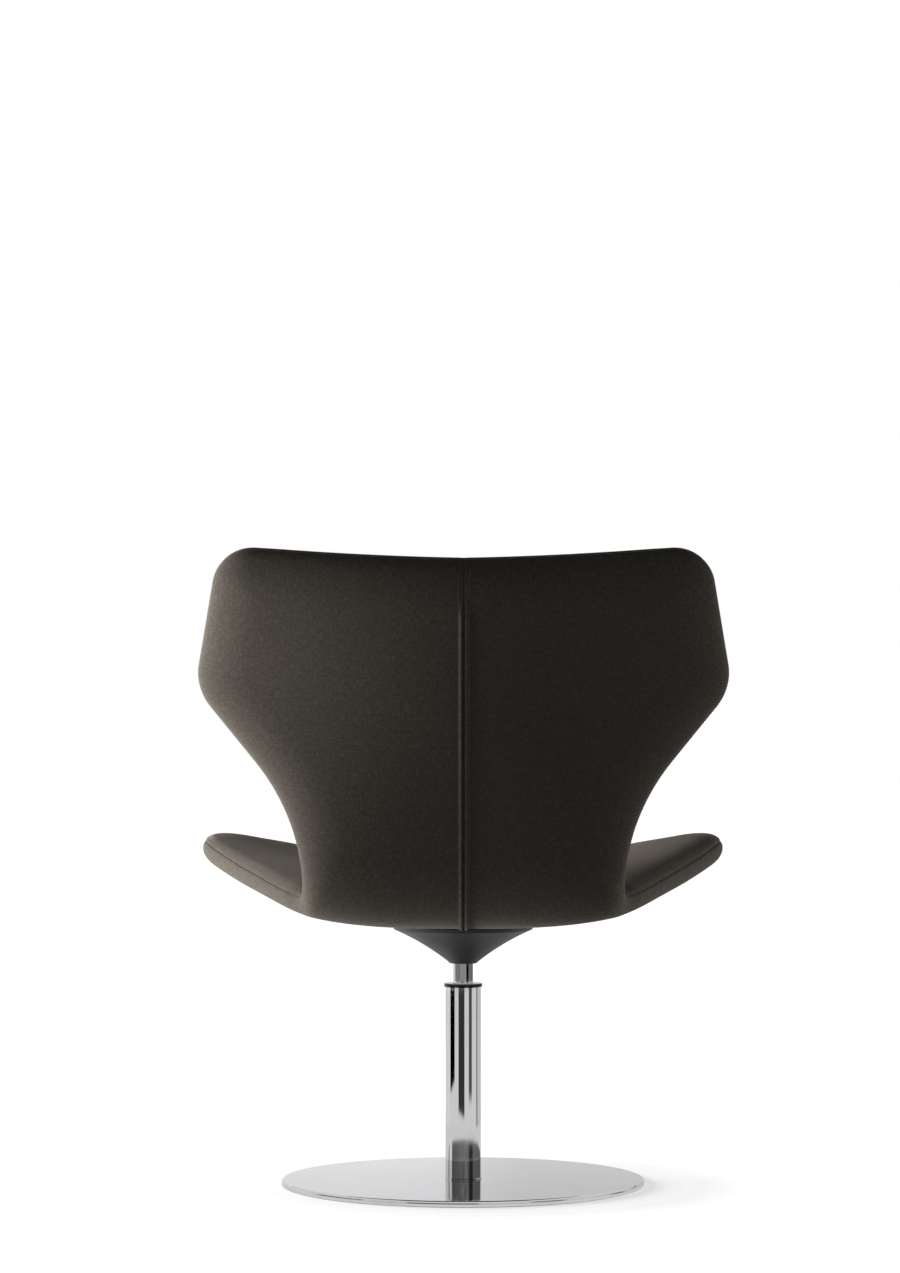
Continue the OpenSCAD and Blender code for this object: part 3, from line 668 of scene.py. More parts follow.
@dataclass(frozen=True)
class ShellForm:
    """The shell's middle surface, its outline and the faces of its upholstery, in metres."""

    middle_z: float = 388.8 * MM
    seat_reach: float = 340 * MM
    seat_run: float = 458 * MM
    slope_front: float = math.radians(4.1)
    slope_rear: float = math.radians(-1.1)
    bend_r: float = 95 * MM
    back_low: float = math.radians(78)
    back_top: float = math.radians(72)
    back_run: float = 423 * MM
    corners: tuple[Triple, ...] = (
        (309, 0, 104), (376, 213, 82), (220.5, 499.5, 54),
        (214, 634.005, 256), (364, 807.505, 68), (328, 1008.505, 58))
    curl_at: float = 300 * MM
    curls: tuple[float, ...] = (48.5, 51.4, 52, 60, 51.5, 37)
    powers: tuple[float, ...] = (2.45, 2.45, 3, 4.2, 1.88, 1.88)
    top_dip: float = 4.2 * MM
    top_dip_w: float = 250 * MM
    core_face: float = 3.3 * MM
    outer_pad: float = 24 * MM
    inner_pad: float = 16 * MM
    seat_crown: float = 6 * MM
    seat_fill: float = 25.5 * MM
    seat_round: float = 110 * MM
    back_crown: float = 8 * MM
    cross_depth: float = 6 * MM
    cross_w: float = 14 * MM
    edge_round: float = 24 * MM
    soft_round: float = 70 * MM
    edge_lip: float = 2 * MM
    gap: float = 0.15 * MM
    slack: float = 1.2 * MM
    nudge: float = 0.6 * MM

    @property
    def bend_end(self) -> float:
        """Distance along the centre line at which the bend ends."""
        return self.seat_run + self.bend_r * (self.back_low + self.slope_rear)

    @property
    def run(self) -> float:
        """Length of the whole centre line."""
        return self.bend_end + self.back_run

    @property
    def notch(self) -> float:
        """Distance along the centre line of the cross seam, at the notch."""
        return self.corners[2][1] * MM

    def stations(self, second: float) -> list[float]:
        """Distances at which the curl and its steepness are given, which differ in the second."""
        return [0.0, second, self.seat_run, self.notch, self.corners[4][1] * MM, self.run]

    @property
    def seat_r(self) -> float:
        """Radius of the seat's centre line."""
        return self.seat_run / (self.slope_front - self.slope_rear)

    @property
    def axis_slope(self) -> float:
        """Slope of the seat on the swivel axis."""
        return math.asin(self.seat_reach / self.seat_r - math.sin(self.slope_front))

    @property
    def axis_s(self) -> float:
        """Distance of the swivel axis along the centre line."""
        return (self.axis_slope + self.slope_front) * self.seat_r

    @staticmethod
    def along(start: Pair, a: float, b: float, length: float, t: Field) -> tuple[Field, Field, Field]:
        """Follows an arc.

        Args:
            start: its first point, as y and z.
            a: its slope there.
            b: its slope at its end.
            length: its length.
            t: distances along it.

        Returns:
            y, z and slope at each distance.
        """
        r = length / (b - a)
        now = a + (b - a) * t / length
        return start[0] + r * (np.sin(now) - math.sin(a)), start[1] - r * (np.cos(now) - math.cos(a)), now

    def centre_line(self, s: Field) -> tuple[Field, Field, Field]:
        """Gives y, z and slope of the centre line at distances from the front edge.

        Args:
            s: the distances.

        Returns:
            y, z and slope at each.
        """
        front_z = self.middle_z + self.seat_r * (math.cos(self.axis_slope) - math.cos(self.slope_front))
        start, arcs = (-self.seat_reach, front_z), []
        slopes = (-self.slope_front, -self.slope_rear, self.back_low, self.back_top)
        stations = (0.0, self.seat_run, self.bend_end, self.run)
        for a, b, low, high in zip(slopes, slopes[1:], stations, stations[1:]):
            arcs.append(self.along(start, a, b, high - low, s - low))
            start = self.along(start, a, b, high - low, high - low)[:2]
        seat, bend, back = arcs
        cases = [s <= self.seat_run, s <= self.bend_end]
        return tuple(np.select(cases, [seat[k], bend[k]], back[k]) for k in range(3))

    @staticmethod
    def mixed(values: Sequence[float], stations: Sequence[float], s: Field) -> Field:
        """Eases a value from station to station.

        Args:
            values: the value at each station.
            stations: their distances along the centre line.
            s: the distances that are asked for.

        Returns:
            The value at each distance.
        """
        result = np.full_like(s, values[0])
        for a, b, low, high in zip(stations, stations[1:], values, values[1:]):
            t = np.clip((s - a) / (b - a), 0, 1)
            result = np.where(s > a, low + (high - low) * ease(t), result)
        return result

    def middle(self, x: Field, s: Field) -> Field:
        """Points of the middle surface.

        Args:
            x: distances from the middle plane.
            s: distances along the centre line.

        Returns:
            One point for each pair, as rows of x, y and z.
        """
        rise = np.where(s <= self.bend_end, 0.0, ((s - self.bend_end) / self.back_run) ** 2)
        dip = self.top_dip * np.minimum(1, abs(x) / self.top_dip_w) * rise
        y, z, slope = self.centre_line(s + dip)
        height = self.mixed(self.curls, self.stations(self.corners[1][1] * MM), s) * MM
        curl = height * (abs(x) / self.curl_at) ** self.mixed(self.powers, self.stations(self.axis_s), s)
        return np.stack([x, y - curl * np.sin(slope), z + curl * np.cos(slope)], axis=-1)

    def normal(self, x: Field, s: Field) -> Field:
        """Normals of the middle surface, which point to the sitter.

        Args:
            x: distances from the middle plane.
            s: distances along the centre line.

        Returns:
            One unit vector for each pair, as rows.
        """
        across = self.middle(x + MM, s) - self.middle(x - MM, s)
        along = self.middle(x, s + MM) - self.middle(x, s - MM)
        cross = np.cross(across, along)
        return cross / np.linalg.norm(cross, axis=-1, keepdims=True)

    def outline(self, steps: int = 20) -> Field:
        """The right half of the outline, from the front edge to the top edge.

        Args:
            steps: how many steps each rounded corner has.

        Returns:
            Points as rows of x and s.
        """
        knots = [(0.0, 0.0), *((x * MM, s * MM) for x, s, _ in self.corners), (0.0, self.run)]
        points = []
        for before, at, after, corner in zip(knots, knots[1:], knots[2:], self.corners):
            at, r = Vector(at), corner[2] * MM
            u, v = (Vector(before) - at).normalized(), (Vector(after) - at).normalized()
            half = u.angle(v) / 2
            centre = at + (u + v).normalized() * r / math.sin(half)
            ends = [at + side * r / math.tan(half) - centre for side in (u, v)]
            first = math.atan2(ends[0].y, ends[0].x)
            turn = (math.atan2(ends[1].y, ends[1].x) - first + 3 * math.pi) % (2 * math.pi) - math.pi
            angles = first + turn * np.linspace(0, 1, steps + 1)
            points += [(centre.x + r * math.cos(a), centre.y + r * math.sin(a)) for a in angles]
        return np.array(points)

    def whole_outline(self, steps: int = 20) -> Field:
        """The right half of the outline, with its two ends on the middle plane."""
        return np.vstack([[0.0, 0.0], self.outline(steps), [0.0, self.run]])

    def half_width(self, s: Field) -> Field:
        """Half width of the outline at distances along the centre line."""
        edge = self.outline()
        return np.interp(s, edge[:, 1], edge[:, 0])

    def edge_distance(self, x: Field, s: Field) -> tuple[Field, Field]:
        """Measures how far points lie from the outline.

        Args:
            x: distances from the middle plane.
            s: distances along the centre line.

        Returns:
            The distance to the outline, and how far along it the nearest point is.
        """
        edge = self.whole_outline()
        starts = travelled(edge)
        place = np.stack([abs(x).ravel(), s.ravel()], axis=-1)
        best, run = np.full(len(place), np.inf), np.zeros(len(place))
        for a, b, length, start in zip(edge, edge[1:], np.diff(starts), starts):
            t = np.clip((place - a) @ (b - a) / length ** 2, 0, 1)
            away = np.linalg.norm(a + t[:, None] * (b - a) - place, axis=1)
            nearer = away < best
            best, run = np.where(nearer, away, best), np.where(nearer, start + t * length, run)
        return best.reshape(x.shape), run.reshape(x.shape)

    def inward(self, x: Field, s: Field) -> Field:
        """Directions away from the nearest edge, as rows of x and s.

        Args:
            x: distances from the middle plane.
            s: distances along the centre line.

        Returns:
            One unit vector for each pair.
        """
        half = np.maximum(self.half_width(s), MM)
        x_in = x * (1 - self.nudge / half)
        s_in = s + self.nudge * (1 - 2 * s / self.run)
        step = self.nudge / 3
        dx = self.edge_distance(x_in + step, s_in)[0] - self.edge_distance(x_in - step, s_in)[0]
        ds = self.edge_distance(x_in, s_in + step)[0] - self.edge_distance(x_in, s_in - step)[0]
        away = np.stack([dx, ds], axis=-1)
        return away / np.maximum(np.linalg.norm(away, axis=-1, keepdims=True), 1e-9)

    def roundness(self, d: Field, reach: Field | float = 0.0) -> Field:
        """Share of the full height at a distance from the edge, rounded over the reach or edge_round."""
        share = np.minimum(1, d / np.maximum(self.edge_round, reach))
        return np.sqrt(np.maximum(0, 1 - (1 - share) ** 2))

    def back_reach(self, s: Field) -> Field:
        """Over which distance the outer cover is rounded, which grows from the bend to the back."""
        t = np.clip((s - self.notch) / (self.corners[3][1] * MM - self.notch), 0, 1)
        return self.edge_round + (self.soft_round - self.edge_round) * ease(t)

    def seat_share(self, s: Field) -> Field:
        """How full the seat pad is along the centre line, from 0 at its ends to 1."""
        return np.where(s < self.notch, 1 - (1 - np.sin(math.pi * s / self.notch)) ** 3, 0.0)

    def seat_reach_in(self, s: Field) -> Field:
        """Over which distance the inner pads are rounded, which is widest half way along the seat."""
        return self.edge_round + (self.seat_round - self.edge_round) * self.seat_share(s)

    def crown(self, x: Field, s: Field) -> Field:
        """Extra height of the inner pads, most of it towards their middle.

        Args:
            x: distances from the middle plane.
            s: distances along the centre line.

        Returns:
            The height at each place, in metres.
        """
        back = np.where(s < self.notch, 0.0, np.sin(math.pi * (s - self.notch) / (self.run - self.notch)))
        seat = self.seat_share(s)
        across = 1 - (x / self.half_width(s)) ** 2
        return self.seat_fill * seat + across * (self.seat_crown * seat + self.back_crown * back)


class Side(Enum):
    """The two sides of the shell, with the sign of their normal."""

    OUTER = -1
    INNER = 1


@dataclass
class Swell:
    """How far the filling pushes a cover out over a pinned grid of cage points."""

    low_s: float
    high_s: float
    push: Field

    def at(self, form: ShellForm, x: Field, s: Field) -> Field:
        """Reads the push at any place on the shell.

        Args:
            form: the shell.
            x: distances from the middle plane.
            s: distances along the centre line.

        Returns:
            The push at each place, in metres.
        """
        rows, columns = self.push.shape
        i = np.clip((s - self.low_s) / (self.high_s - self.low_s), 0, 1) * (rows - 1)
        j = np.clip(x / form.half_width(s) + 1, 0, 2) / 2 * (columns - 1)
        i0, j0 = np.minimum(i.astype(int), rows - 2), np.minimum(j.astype(int), columns - 2)
        u, v = ease(j - j0), ease(i - i0)
        low = self.push[i0, j0] * (1 - u) + self.push[i0, j0 + 1] * u
        high = self.push[i0 + 1, j0] * (1 - u) + self.push[i0 + 1, j0 + 1] * u
        return low * (1 - v) + high * v


@dataclass
class Cage:
    """A coarse closed pad that a cloth simulation blows up against its sewn edges."""

    form: ShellForm
    side: Side
    low_s: float
    high_s: float
    columns: int = 36
    rows: int = 44
    pressure: float = 4.0
    limit: float = 3.0 * MM
    mount_r: float = 118 * MM
    frames: int = 20

    def blow_up(self) -> Swell:
        """Runs the simulation.

        Returns:
            The push along the surface normals at each cage point, at most the limit.
        """
        bm = block(self.columns, self.rows)
        grid = np.array([v.co[:] for v in bm.verts])
        s = self.low_s + (grid[:, 1] + 0.5) * (self.high_s - self.low_s)
        x = grid[:, 0] * 2 * self.form.half_width(s)
        top = grid[:, 2] < 0.5
        rise = np.where(top, self.filled(x, s), 0.0)
        normal = self.form.normal(x, s)
        rest = self.form.middle(x, s) + normal * (rise * self.side.value)[:, None]
        move_verts(bm, rest)
        bmesh.ops.recalc_face_normals(bm, faces=bm.faces)
        cage = shown("cage", as_mesh("cage", bm))
        border = np.isclose(abs(grid[:, :2]), 0.5).any(axis=1)
        below = (self.side is Side.OUTER) & (s < self.form.notch)
        mount = below & (np.hypot(rest[:, 0], rest[:, 1]) < self.mount_r)
        held = cage.vertex_groups.new(name="sewn")
        held.add([int(k) for k in np.flatnonzero(~top | border | mount)], 1.0, "REPLACE")
        self.simulate(cage)
        blown = np.empty(rest.size, np.float32)
        evaluated = cage.evaluated_get(bpy.context.evaluated_depsgraph_get())
        evaluated.data.vertices.foreach_get("co", blown)
        push = ((blown.reshape(-1, 3) - rest) * normal).sum(axis=1) * self.side.value
        bpy.data.objects.remove(cage)
        table = np.zeros((self.rows + 1, self.columns + 1))
        i = np.rint((grid[top, 1] + 0.5) * self.rows).astype(int)
        j = np.rint((grid[top, 0] + 0.5) * self.columns).astype(int)
        table[i, j] = np.clip(push[top], 0, self.limit)
        log.info("cage %s: pushed out %.1f mm at most", self.side.name.lower(), 1000 * push[top].max())
        return Swell(self.low_s, self.high_s, table)

    def filled(self, x: Field, s: Field) -> Field:
        """Height of the cover's face over its filling, before it is blown up.

        Args:
            x: distances from the middle plane.
            s: distances along the centre line.

        Returns:
            The height at each place, in metres.
        """
        form = self.form
        d = form.edge_distance(x, s)[0]
        if self.side is Side.OUTER:
            return (form.outer_pad - form.slack) * form.roundness(d)
        return (form.inner_pad + form.crown(x, s) - form.slack) * form.roundness(d, form.seat_reach_in(s))

    def simulate(self, cage: bpy.types.Object) -> None:
        """Blows up the cage over some frames, held at its sewn points.

        Args:
            cage: the cage, with its vertex group of sewn points.
        """
        cloth = cage.modifiers.new("filling", "CLOTH")
        cloth.settings.quality = 6
        cloth.settings.mass = 0.25
        cloth.settings.use_pressure = True
        cloth.settings.uniform_pressure_force = self.pressure
        cloth.settings.vertex_group_mass = "sewn"
        cloth.settings.tension_stiffness = 30
        cloth.settings.compression_stiffness = 30
        cloth.settings.bending_stiffness = 2
        cloth.settings.effector_weights.gravity = 0
        cloth.collision_settings.use_collision = False
        cloth.point_cache.frame_start, cloth.point_cache.frame_end = 1, self.frames
        for step in range(self.frames):
            bpy.context.scene.frame_set(step + 1)


@dataclass
class Panel:
    """One sewn cover with its foam: a face, a hidden back and the folds that join them."""

    name: str
    node: str
    form: ShellForm
    side: Side
    swell: Swell
    hand: int
    low_s: float
    high_s: float
    fold_r: float = 1.8 * MM
    seam_r: float = 1.5 * MM
    cross_r: float = 3.5 * MM
    ridge_h: float = 2.2 * MM
    ridge_x: float = 3.5 * MM
    ridge_spread: float = 1.1
    ridge_power: float = 1.6
    ridge_stop: float = 50 * MM
    ridge_fade: float = 30 * MM
    stitch_x: float = 7.4 * MM
    pitch: float = 5.0 * MM
    cross_rows: Triple = (5 * MM, 26 * MM, 2 * MM)
    ridge_columns: Triple = (2.2 * MM, 11.5 * MM, 0.75 * MM)
    flat_columns: int = 102
    fold_steps: int = 5
    levels: int = 5
    hem_w: float = 13.5 * MM
    core_edge: float = 14.7 * MM

    @property
    def joined(self) -> tuple[bool, bool]:
        """Whether another panel joins its low end and its high end in a cross seam."""
        return self.low_s > 0, self.high_s < self.form.run

    def edge_stations(self) -> Field:
        """Distances from an edge that share its rounding evenly."""
        return self.form.edge_round * quarter_steps(2 * self.fold_steps)

    def row_stations(self) -> Field:
        """Distances of the rows along the centre line.

        Returns:
            The distances, closer together at edges and seams.
        """
        seam = np.concatenate([self.cross_r * quarter_steps(self.fold_steps), np.arange(*self.cross_rows)])
        starts, ends = (seam if joined else self.edge_stations() for joined in self.joined)
        low, high = self.low_s + starts, self.high_s - ends[::-1]
        count = max(2, round((high[0] - low[-1]) / self.pitch))
        return np.concatenate([low, np.linspace(low[-1], high[0], count + 1)[1:-1], high])

    def column_stations(self, s: Field) -> Field:
        """Places of the columns across the shell.

        Args:
            s: distance of each row.

        Returns:
            x of each row's columns.
        """
        half = self.form.half_width(s)[:, None]
        edge = half - self.edge_stations()[::-1][None, :]
        if self.hand:
            seam = self.seam_r * quarter_steps(self.fold_steps)
            seam = self.form.gap + np.concatenate([seam, np.arange(*self.ridge_columns)])
            share = np.linspace(0, 1, self.flat_columns // 2 - 1)[None, 1:-1]
            flat = seam[-1] + (edge[:, :1] - seam[-1]) * share
            columns = np.concatenate([np.repeat(seam[None, :], len(s), axis=0), flat, edge], axis=1)
            return columns * self.hand
        share = np.linspace(-1, 1, self.flat_columns)[None, 1:-1]
        return np.concatenate([-edge[:, ::-1], edge[:, :1] * share, edge], axis=1)

    def height(self, x: Field, s: Field) -> Field:
        """Height of the cover's face above the middle surface.

        Args:
            x: distances from the middle plane.
            s: distances along the centre line.

        Returns:
            The height at each place, in metres.
        """
        form = self.form
        outer = self.side is Side.OUTER
        reach = form.back_reach(s) if outer else form.seat_reach_in(s)
        risen = form.roundness(form.edge_distance(x, s)[0], reach)
        filling = self.swell.at(form, x, s) - form.slack - form.edge_lip
        lip = form.gap + form.edge_lip
        if outer:
            return lip + (form.outer_pad + filling - self.valley(x)) * risen + self.ridge(x, s)
        hollow = form.cross_depth * np.exp(-((s - form.notch) / form.cross_w) ** 2)
        seam = self.cross_r * fold_depth(np.minimum(1, abs(s - form.notch) / self.cross_r))
        return lip + (form.inner_pad + form.crown(x, s) + filling - hollow - seam) * risen

    def ridge(self, x: Field, s: Field) -> Field:
        """The raised bead along the centre seam, which fades out below the top edge.

        Args:
            x: distances from the middle plane.
            s: distances along the centre line.

        Returns:
            Its height at each place, in metres.
        """
        fade = np.clip((self.form.run - self.ridge_stop - s) / self.ridge_fade, 0, 1)
        near = np.clip(abs(abs(x) - self.ridge_x) / (self.ridge_spread * self.ridge_x), 0, 1)
        return self.ridge_h * fade * np.cos(near * QUARTER) ** self.ridge_power

    def valley(self, x: Field) -> Field:
        """The rounded fold of the cover into the centre seam."""
        return self.seam_r * fold_depth(np.clip((abs(x) - self.form.gap) / self.seam_r, 0, 1))

    def lifted(self, x: Field, s: Field, height: Field) -> Field:
        """Points at a height above the middle surface, on the panel's side."""
        return self.form.middle(x, s) + self.form.normal(x, s) * (height * self.side.value)[..., None]

    def face(self, x: Field, s: Field) -> Field:
        """Points of the cover's face."""
        return self.lifted(x, s, self.height(x, s))

    def shape(self, params: Field) -> tuple[Field, Field, Field, Field]:
        """Places the points of the parameter block on the shell.

        Args:
            params: for each point its share across, its share along and its depth, all from 0 to 1.

        Returns:
            Positions, weave coordinates, seam distances and distances along the seam.
        """
        form = self.form
        rows = self.row_stations()
        table = self.column_stations(rows)
        i = np.rint(params[:, 1] * (table.shape[0] - 1)).astype(int)
        j = np.rint(params[:, 0] * (table.shape[1] - 1)).astype(int)
        depth = params[:, 2]
        x, s = table[i, j], rows[i].copy()
        low_gap, high_gap = (form.gap * joined for joined in self.joined)
        s += low_gap * (i == 0) - high_gap * (i == len(rows) - 1)
        away, run = form.edge_distance(x, s)
        inward = form.inward(x, s)
        top = self.face(x, s)
        tuck = self.fold_r * np.clip(1 - away / form.edge_round, 0, 1)
        x_in, s_in = x + inward[:, 0] * tuck, s + inward[:, 1] * tuck
        if self.hand:
            x_in = self.hand * np.maximum(x_in * self.hand, form.gap)
        if any(self.joined):
            s_in = np.clip(s_in, self.low_s + low_gap, self.high_s - high_gap)
        back_h = np.interp(away, [0, self.hem_w, self.core_edge], [form.gap, form.gap, form.core_face])
        bottom = self.lifted(x_in, s_in, back_h)
        turn = depth * QUARTER
        fold_in = self.fold_r * (1 - np.cos(turn))
        lip = form.gap + form.edge_lip * (1 - np.sin(turn))
        fold = self.lifted(x + inward[:, 0] * fold_in, s + inward[:, 1] * fold_in, lip)
        wall = top * (1 - depth)[:, None] + bottom * depth[:, None]
        at_edge = away < 0.02 * MM
        points = np.where(at_edge[:, None], fold, wall)
        points = np.where((depth < WELD)[:, None], top, points)
        points = np.where((depth > 1 - WELD)[:, None], bottom, points)
        return points, self.lay(x, s, table, rows, i, j), *self.seams(x, s, away, run)

    def lay(self, x: Field, s: Field, table: Field, rows: Field, i: Field, j: Field) -> Field:
        """Weave coordinates in metres, measured along each row and along the centre line.

        Args:
            x: distances from the middle plane; not used.
            s: distances along the centre line.
            table: x of each row's columns.
            rows: distance of each row.
            i: row of each point.
            j: column of each point.

        Returns:
            One pair for each point.
        """
        grid_s = np.repeat(rows[:, None], table.shape[1], axis=1)
        points = self.form.middle(table, grid_s)
        steps = np.linalg.norm(np.diff(points, axis=1), axis=-1)
        across = np.concatenate([np.zeros((len(rows), 1)), np.cumsum(steps, axis=1)], axis=1)
        start = [0.0 if self.hand else np.interp(0.0, row_x, row) for row_x, row in zip(table, across)]
        across = (across - np.array(start)[:, None]) * (self.hand or 1)
        return np.stack([across[i, j], s], axis=-1)

    def seams(self, x: Field, s: Field, away: Field, run: Field) -> tuple[Field, Field]:
        """Finds the nearest seam of each point.

        Args:
            x: distances from the middle plane.
            s: distances along the centre line.
            away: distances from the outline.
            run: distances along the outline.

        Returns:
            The distance over the cover to the nearest seam, and the distance along that seam.
        """
        form = self.form
        over = form.edge_round * np.arccos(np.clip(1 - away / form.edge_round, 0, 1))
        if self.side is Side.OUTER:
            other, other_run = abs(abs(x) - self.stitch_x), s
        else:
            other, other_run = abs(s - form.notch), x
        nearer = other < over
        return np.where(nearer, other, over), np.where(nearer, other_run, run)

    def build(self) -> bpy.types.Object:
        """Builds the panel as a closed padded piece.

        Returns:
            The piece, which replaces its CAD solid.
        """
        rows = self.row_stations()
        columns = self.column_stations(rows[:1]).shape[1]
        bm = block(columns - 1, len(rows) - 1)
        bmesh.ops.translate(bm, verts=bm.verts, vec=(0.5, 0.5, 0))
        walls = [e for e in bm.edges if abs(e.verts[0].co.z - e.verts[1].co.z) > 0.5]
        bmesh.ops.subdivide_edges(bm, edges=walls, cuts=self.levels - 1)
        params = np.array([v.co[:] for v in bm.verts])
        points, lay, distance, run = self.shape(params)
        move_verts(bm, points)
        uv = bm.loops.layers.uv.new("weave")
        bm.verts.index_update()
        for face in bm.faces:
            for loop in face.loops:
                loop[uv].uv = lay[loop.vert.index]
        for label, values in (("seam_distance", distance), ("seam_run", run)):
            layer = bm.verts.layers.float.new(label)
            for vertex, value in zip(bm.verts, values):
                vertex[layer] = value
        piece = settle(self.name, bm, Finish.CLOTH, "seat", crease=75.0)
        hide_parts(self.node)
        return piece


@dataclass
class Stitching:
    """Rows of lockstitches that hold the seams of the covers."""

    form: ShellForm
    thread_r: float = 0.26 * MM
    length: float = 3.0 * MM
    pitch: float = 4.0 * MM
    seam_end: float = 6 * MM
    ridge_clear: float = 9 * MM
    rim_points: int = 1500
    arch: tuple[Pair, ...] = (
        (0.0, -0.5 * MM), (0.14, 0.1 * MM), (0.5, 0.22 * MM), (0.86, 0.1 * MM), (1.0, -0.5 * MM))
    paths: list[tuple[Field, Field]] = field(default_factory=list)

    def add_path(self, points: Field, normals: Field) -> None:
        """Adds a path of stitches, with the cover's outward direction at each point."""
        self.paths.append((points, normals))

    def add_rim(self, panel: Panel, angle: float) -> None:
        """Adds a row of stitches beside the edge seam of a panel.

        Args:
            panel: the cover that it runs on.
            angle: how far round the cover's rounded edge it lies, in radians.
        """
        form = self.form
        edge = form.whole_outline(24)
        length = travelled(edge)
        fine = np.linspace(0, length[-1], self.rim_points)
        x, s = (np.interp(fine, length, edge[:, k]) for k in range(2))
        low_end, high_end = (self.seam_end if joined else -1 for joined in panel.joined)
        keep = (s >= panel.low_s + low_end) & (s <= panel.high_s - high_end)
        x, s = x[keep], s[keep]
        for hand in ((panel.hand,) if panel.hand else (1, -1)):
            inward = form.inward(hand * x, s)
            depth = form.edge_round * (1 - math.cos(angle))
            place_x, place_s = hand * x + inward[:, 0] * depth, s + inward[:, 1] * depth
            points = panel.face(place_x, place_s)
            normal = form.normal(place_x, place_s) * panel.side.value
            beside = form.middle(hand * x + inward[:, 0] * MM, s + inward[:, 1] * MM)
            out = form.middle(hand * x, s) - beside
            out /= np.linalg.norm(out, axis=1, keepdims=True)
            lift = out * math.cos(angle) + normal * math.sin(angle)
            inside = abs(place_x) > (self.ridge_clear if panel.hand else -1)
            self.add_path(points[inside], lift[inside])

    def add_line(self, panel: Panel, x: Field, s: Field) -> None:
        """Adds a row of stitches along a line of places on a panel's face."""
        self.add_path(panel.face(x, s), self.form.normal(x, s) * panel.side.value)

    def build(self) -> bpy.types.Object:
        """Sews every path with short arched threads.

        Returns:
            The stitches as one piece.
        """
        curve = bpy.data.curves.new("stitches", "CURVE")
        curve.dimensions = "3D"
        curve.bevel_depth = self.thread_r
        curve.bevel_resolution = 1
        curve.use_fill_caps = True
        share, arch = np.array(self.arch).T
        for points, normals in self.paths:
            length = travelled(points)
            for start in np.arange(self.pitch / 2, length[-1] - self.pitch, self.pitch):
                at = start + share * self.length
                rows = np.hstack([points, normals]).T
                place, lift = np.split(np.array([np.interp(at, length, row) for row in rows]).T, 2, axis=1)
                spline = curve.splines.new("POLY")
                spline.points.add(len(share) - 1)
                place = np.hstack([place + lift * arch[:, None], np.ones((len(share), 1))])
                spline.points.foreach_set("co", place.astype(np.float32).ravel())
        drawn = shown("stitch_curve", curve)
        bm = bmesh.new()
        bm.from_mesh(evaluated_mesh(drawn))
        bpy.data.objects.remove(drawn)
        return settle("stitching", bm, Finish.THREAD, "seat", crease=80.0)


@dataclass
class Upholstery:
    """The covers and pads over the shell, and the stitches in their seams."""

    form: ShellForm = field(default_factory=ShellForm)
    stitch_angle: float = 0.16
    cross_offset: float = 6.5 * MM
    cover_rim: float = 104 * MM
    edge_clear: float = 12 * MM
    cross_clear: float = 22 * MM
    seam_points: int = 400
    cross_points: int = 300

    def build(self) -> None:
        """Blows up the cages, then makes the four panels and sews them."""
        form = self.form
        outer = Cage(form, Side.OUTER, 0.0, form.run).blow_up()
        seat = Cage(form, Side.INNER, 0.0, form.notch, rows=26).blow_up()
        back = Cage(form, Side.INNER, form.notch, form.run, rows=26).blow_up()
        left = Panel("cover_outer_left", "outer_cover_left", form, Side.OUTER, outer, 1, 0.0, form.run)
        right = Panel("cover_outer_right", "outer_cover_right", form, Side.OUTER, outer, -1, 0.0, form.run)
        seat_pad = Panel("pad_seat", "inner_seat_pad", form, Side.INNER, seat, 0, 0.0, form.notch)
        back_pad = Panel("pad_back", "inner_back_pad", form, Side.INNER, back, 0, form.notch, form.run)
        for panel in (left, right, seat_pad, back_pad):
            panel.build()
        self.sew(left, right, seat_pad, back_pad)

    def sew(self, left: Panel, right: Panel, seat_pad: Panel, back_pad: Panel) -> None:
        """Sews the edge seam, the centre seam and the cross seam.

        Args:
            left: the outer cover on the sitter's left.
            right: the outer cover on the sitter's right.
            seat_pad: the inner cover of the seat.
            back_pad: the inner cover of the back.
        """
        form = self.form
        stitching = Stitching(form)
        for panel in (left, right, seat_pad, back_pad):
            stitching.add_rim(panel, self.stitch_angle)
        for panel in (left, right):
            seat = (self.edge_clear, form.axis_s - self.cover_rim)
            back = (form.axis_s + self.cover_rim, form.run - self.edge_clear)
            for low, high in (seat, back):
                s = np.linspace(low, high, self.seam_points)
                stitching.add_line(panel, np.full_like(s, panel.hand * panel.stitch_x), s)
        for panel, sign in ((seat_pad, -1), (back_pad, 1)):
            place = form.notch + sign * self.cross_offset
            reach = float(form.half_width(np.array([place]))[0]) - self.cross_clear
            x = np.linspace(-reach, reach, self.cross_points)
            stitching.add_line(panel, x, np.full_like(x, place))
        stitching.build()


# Column, base and cone cover


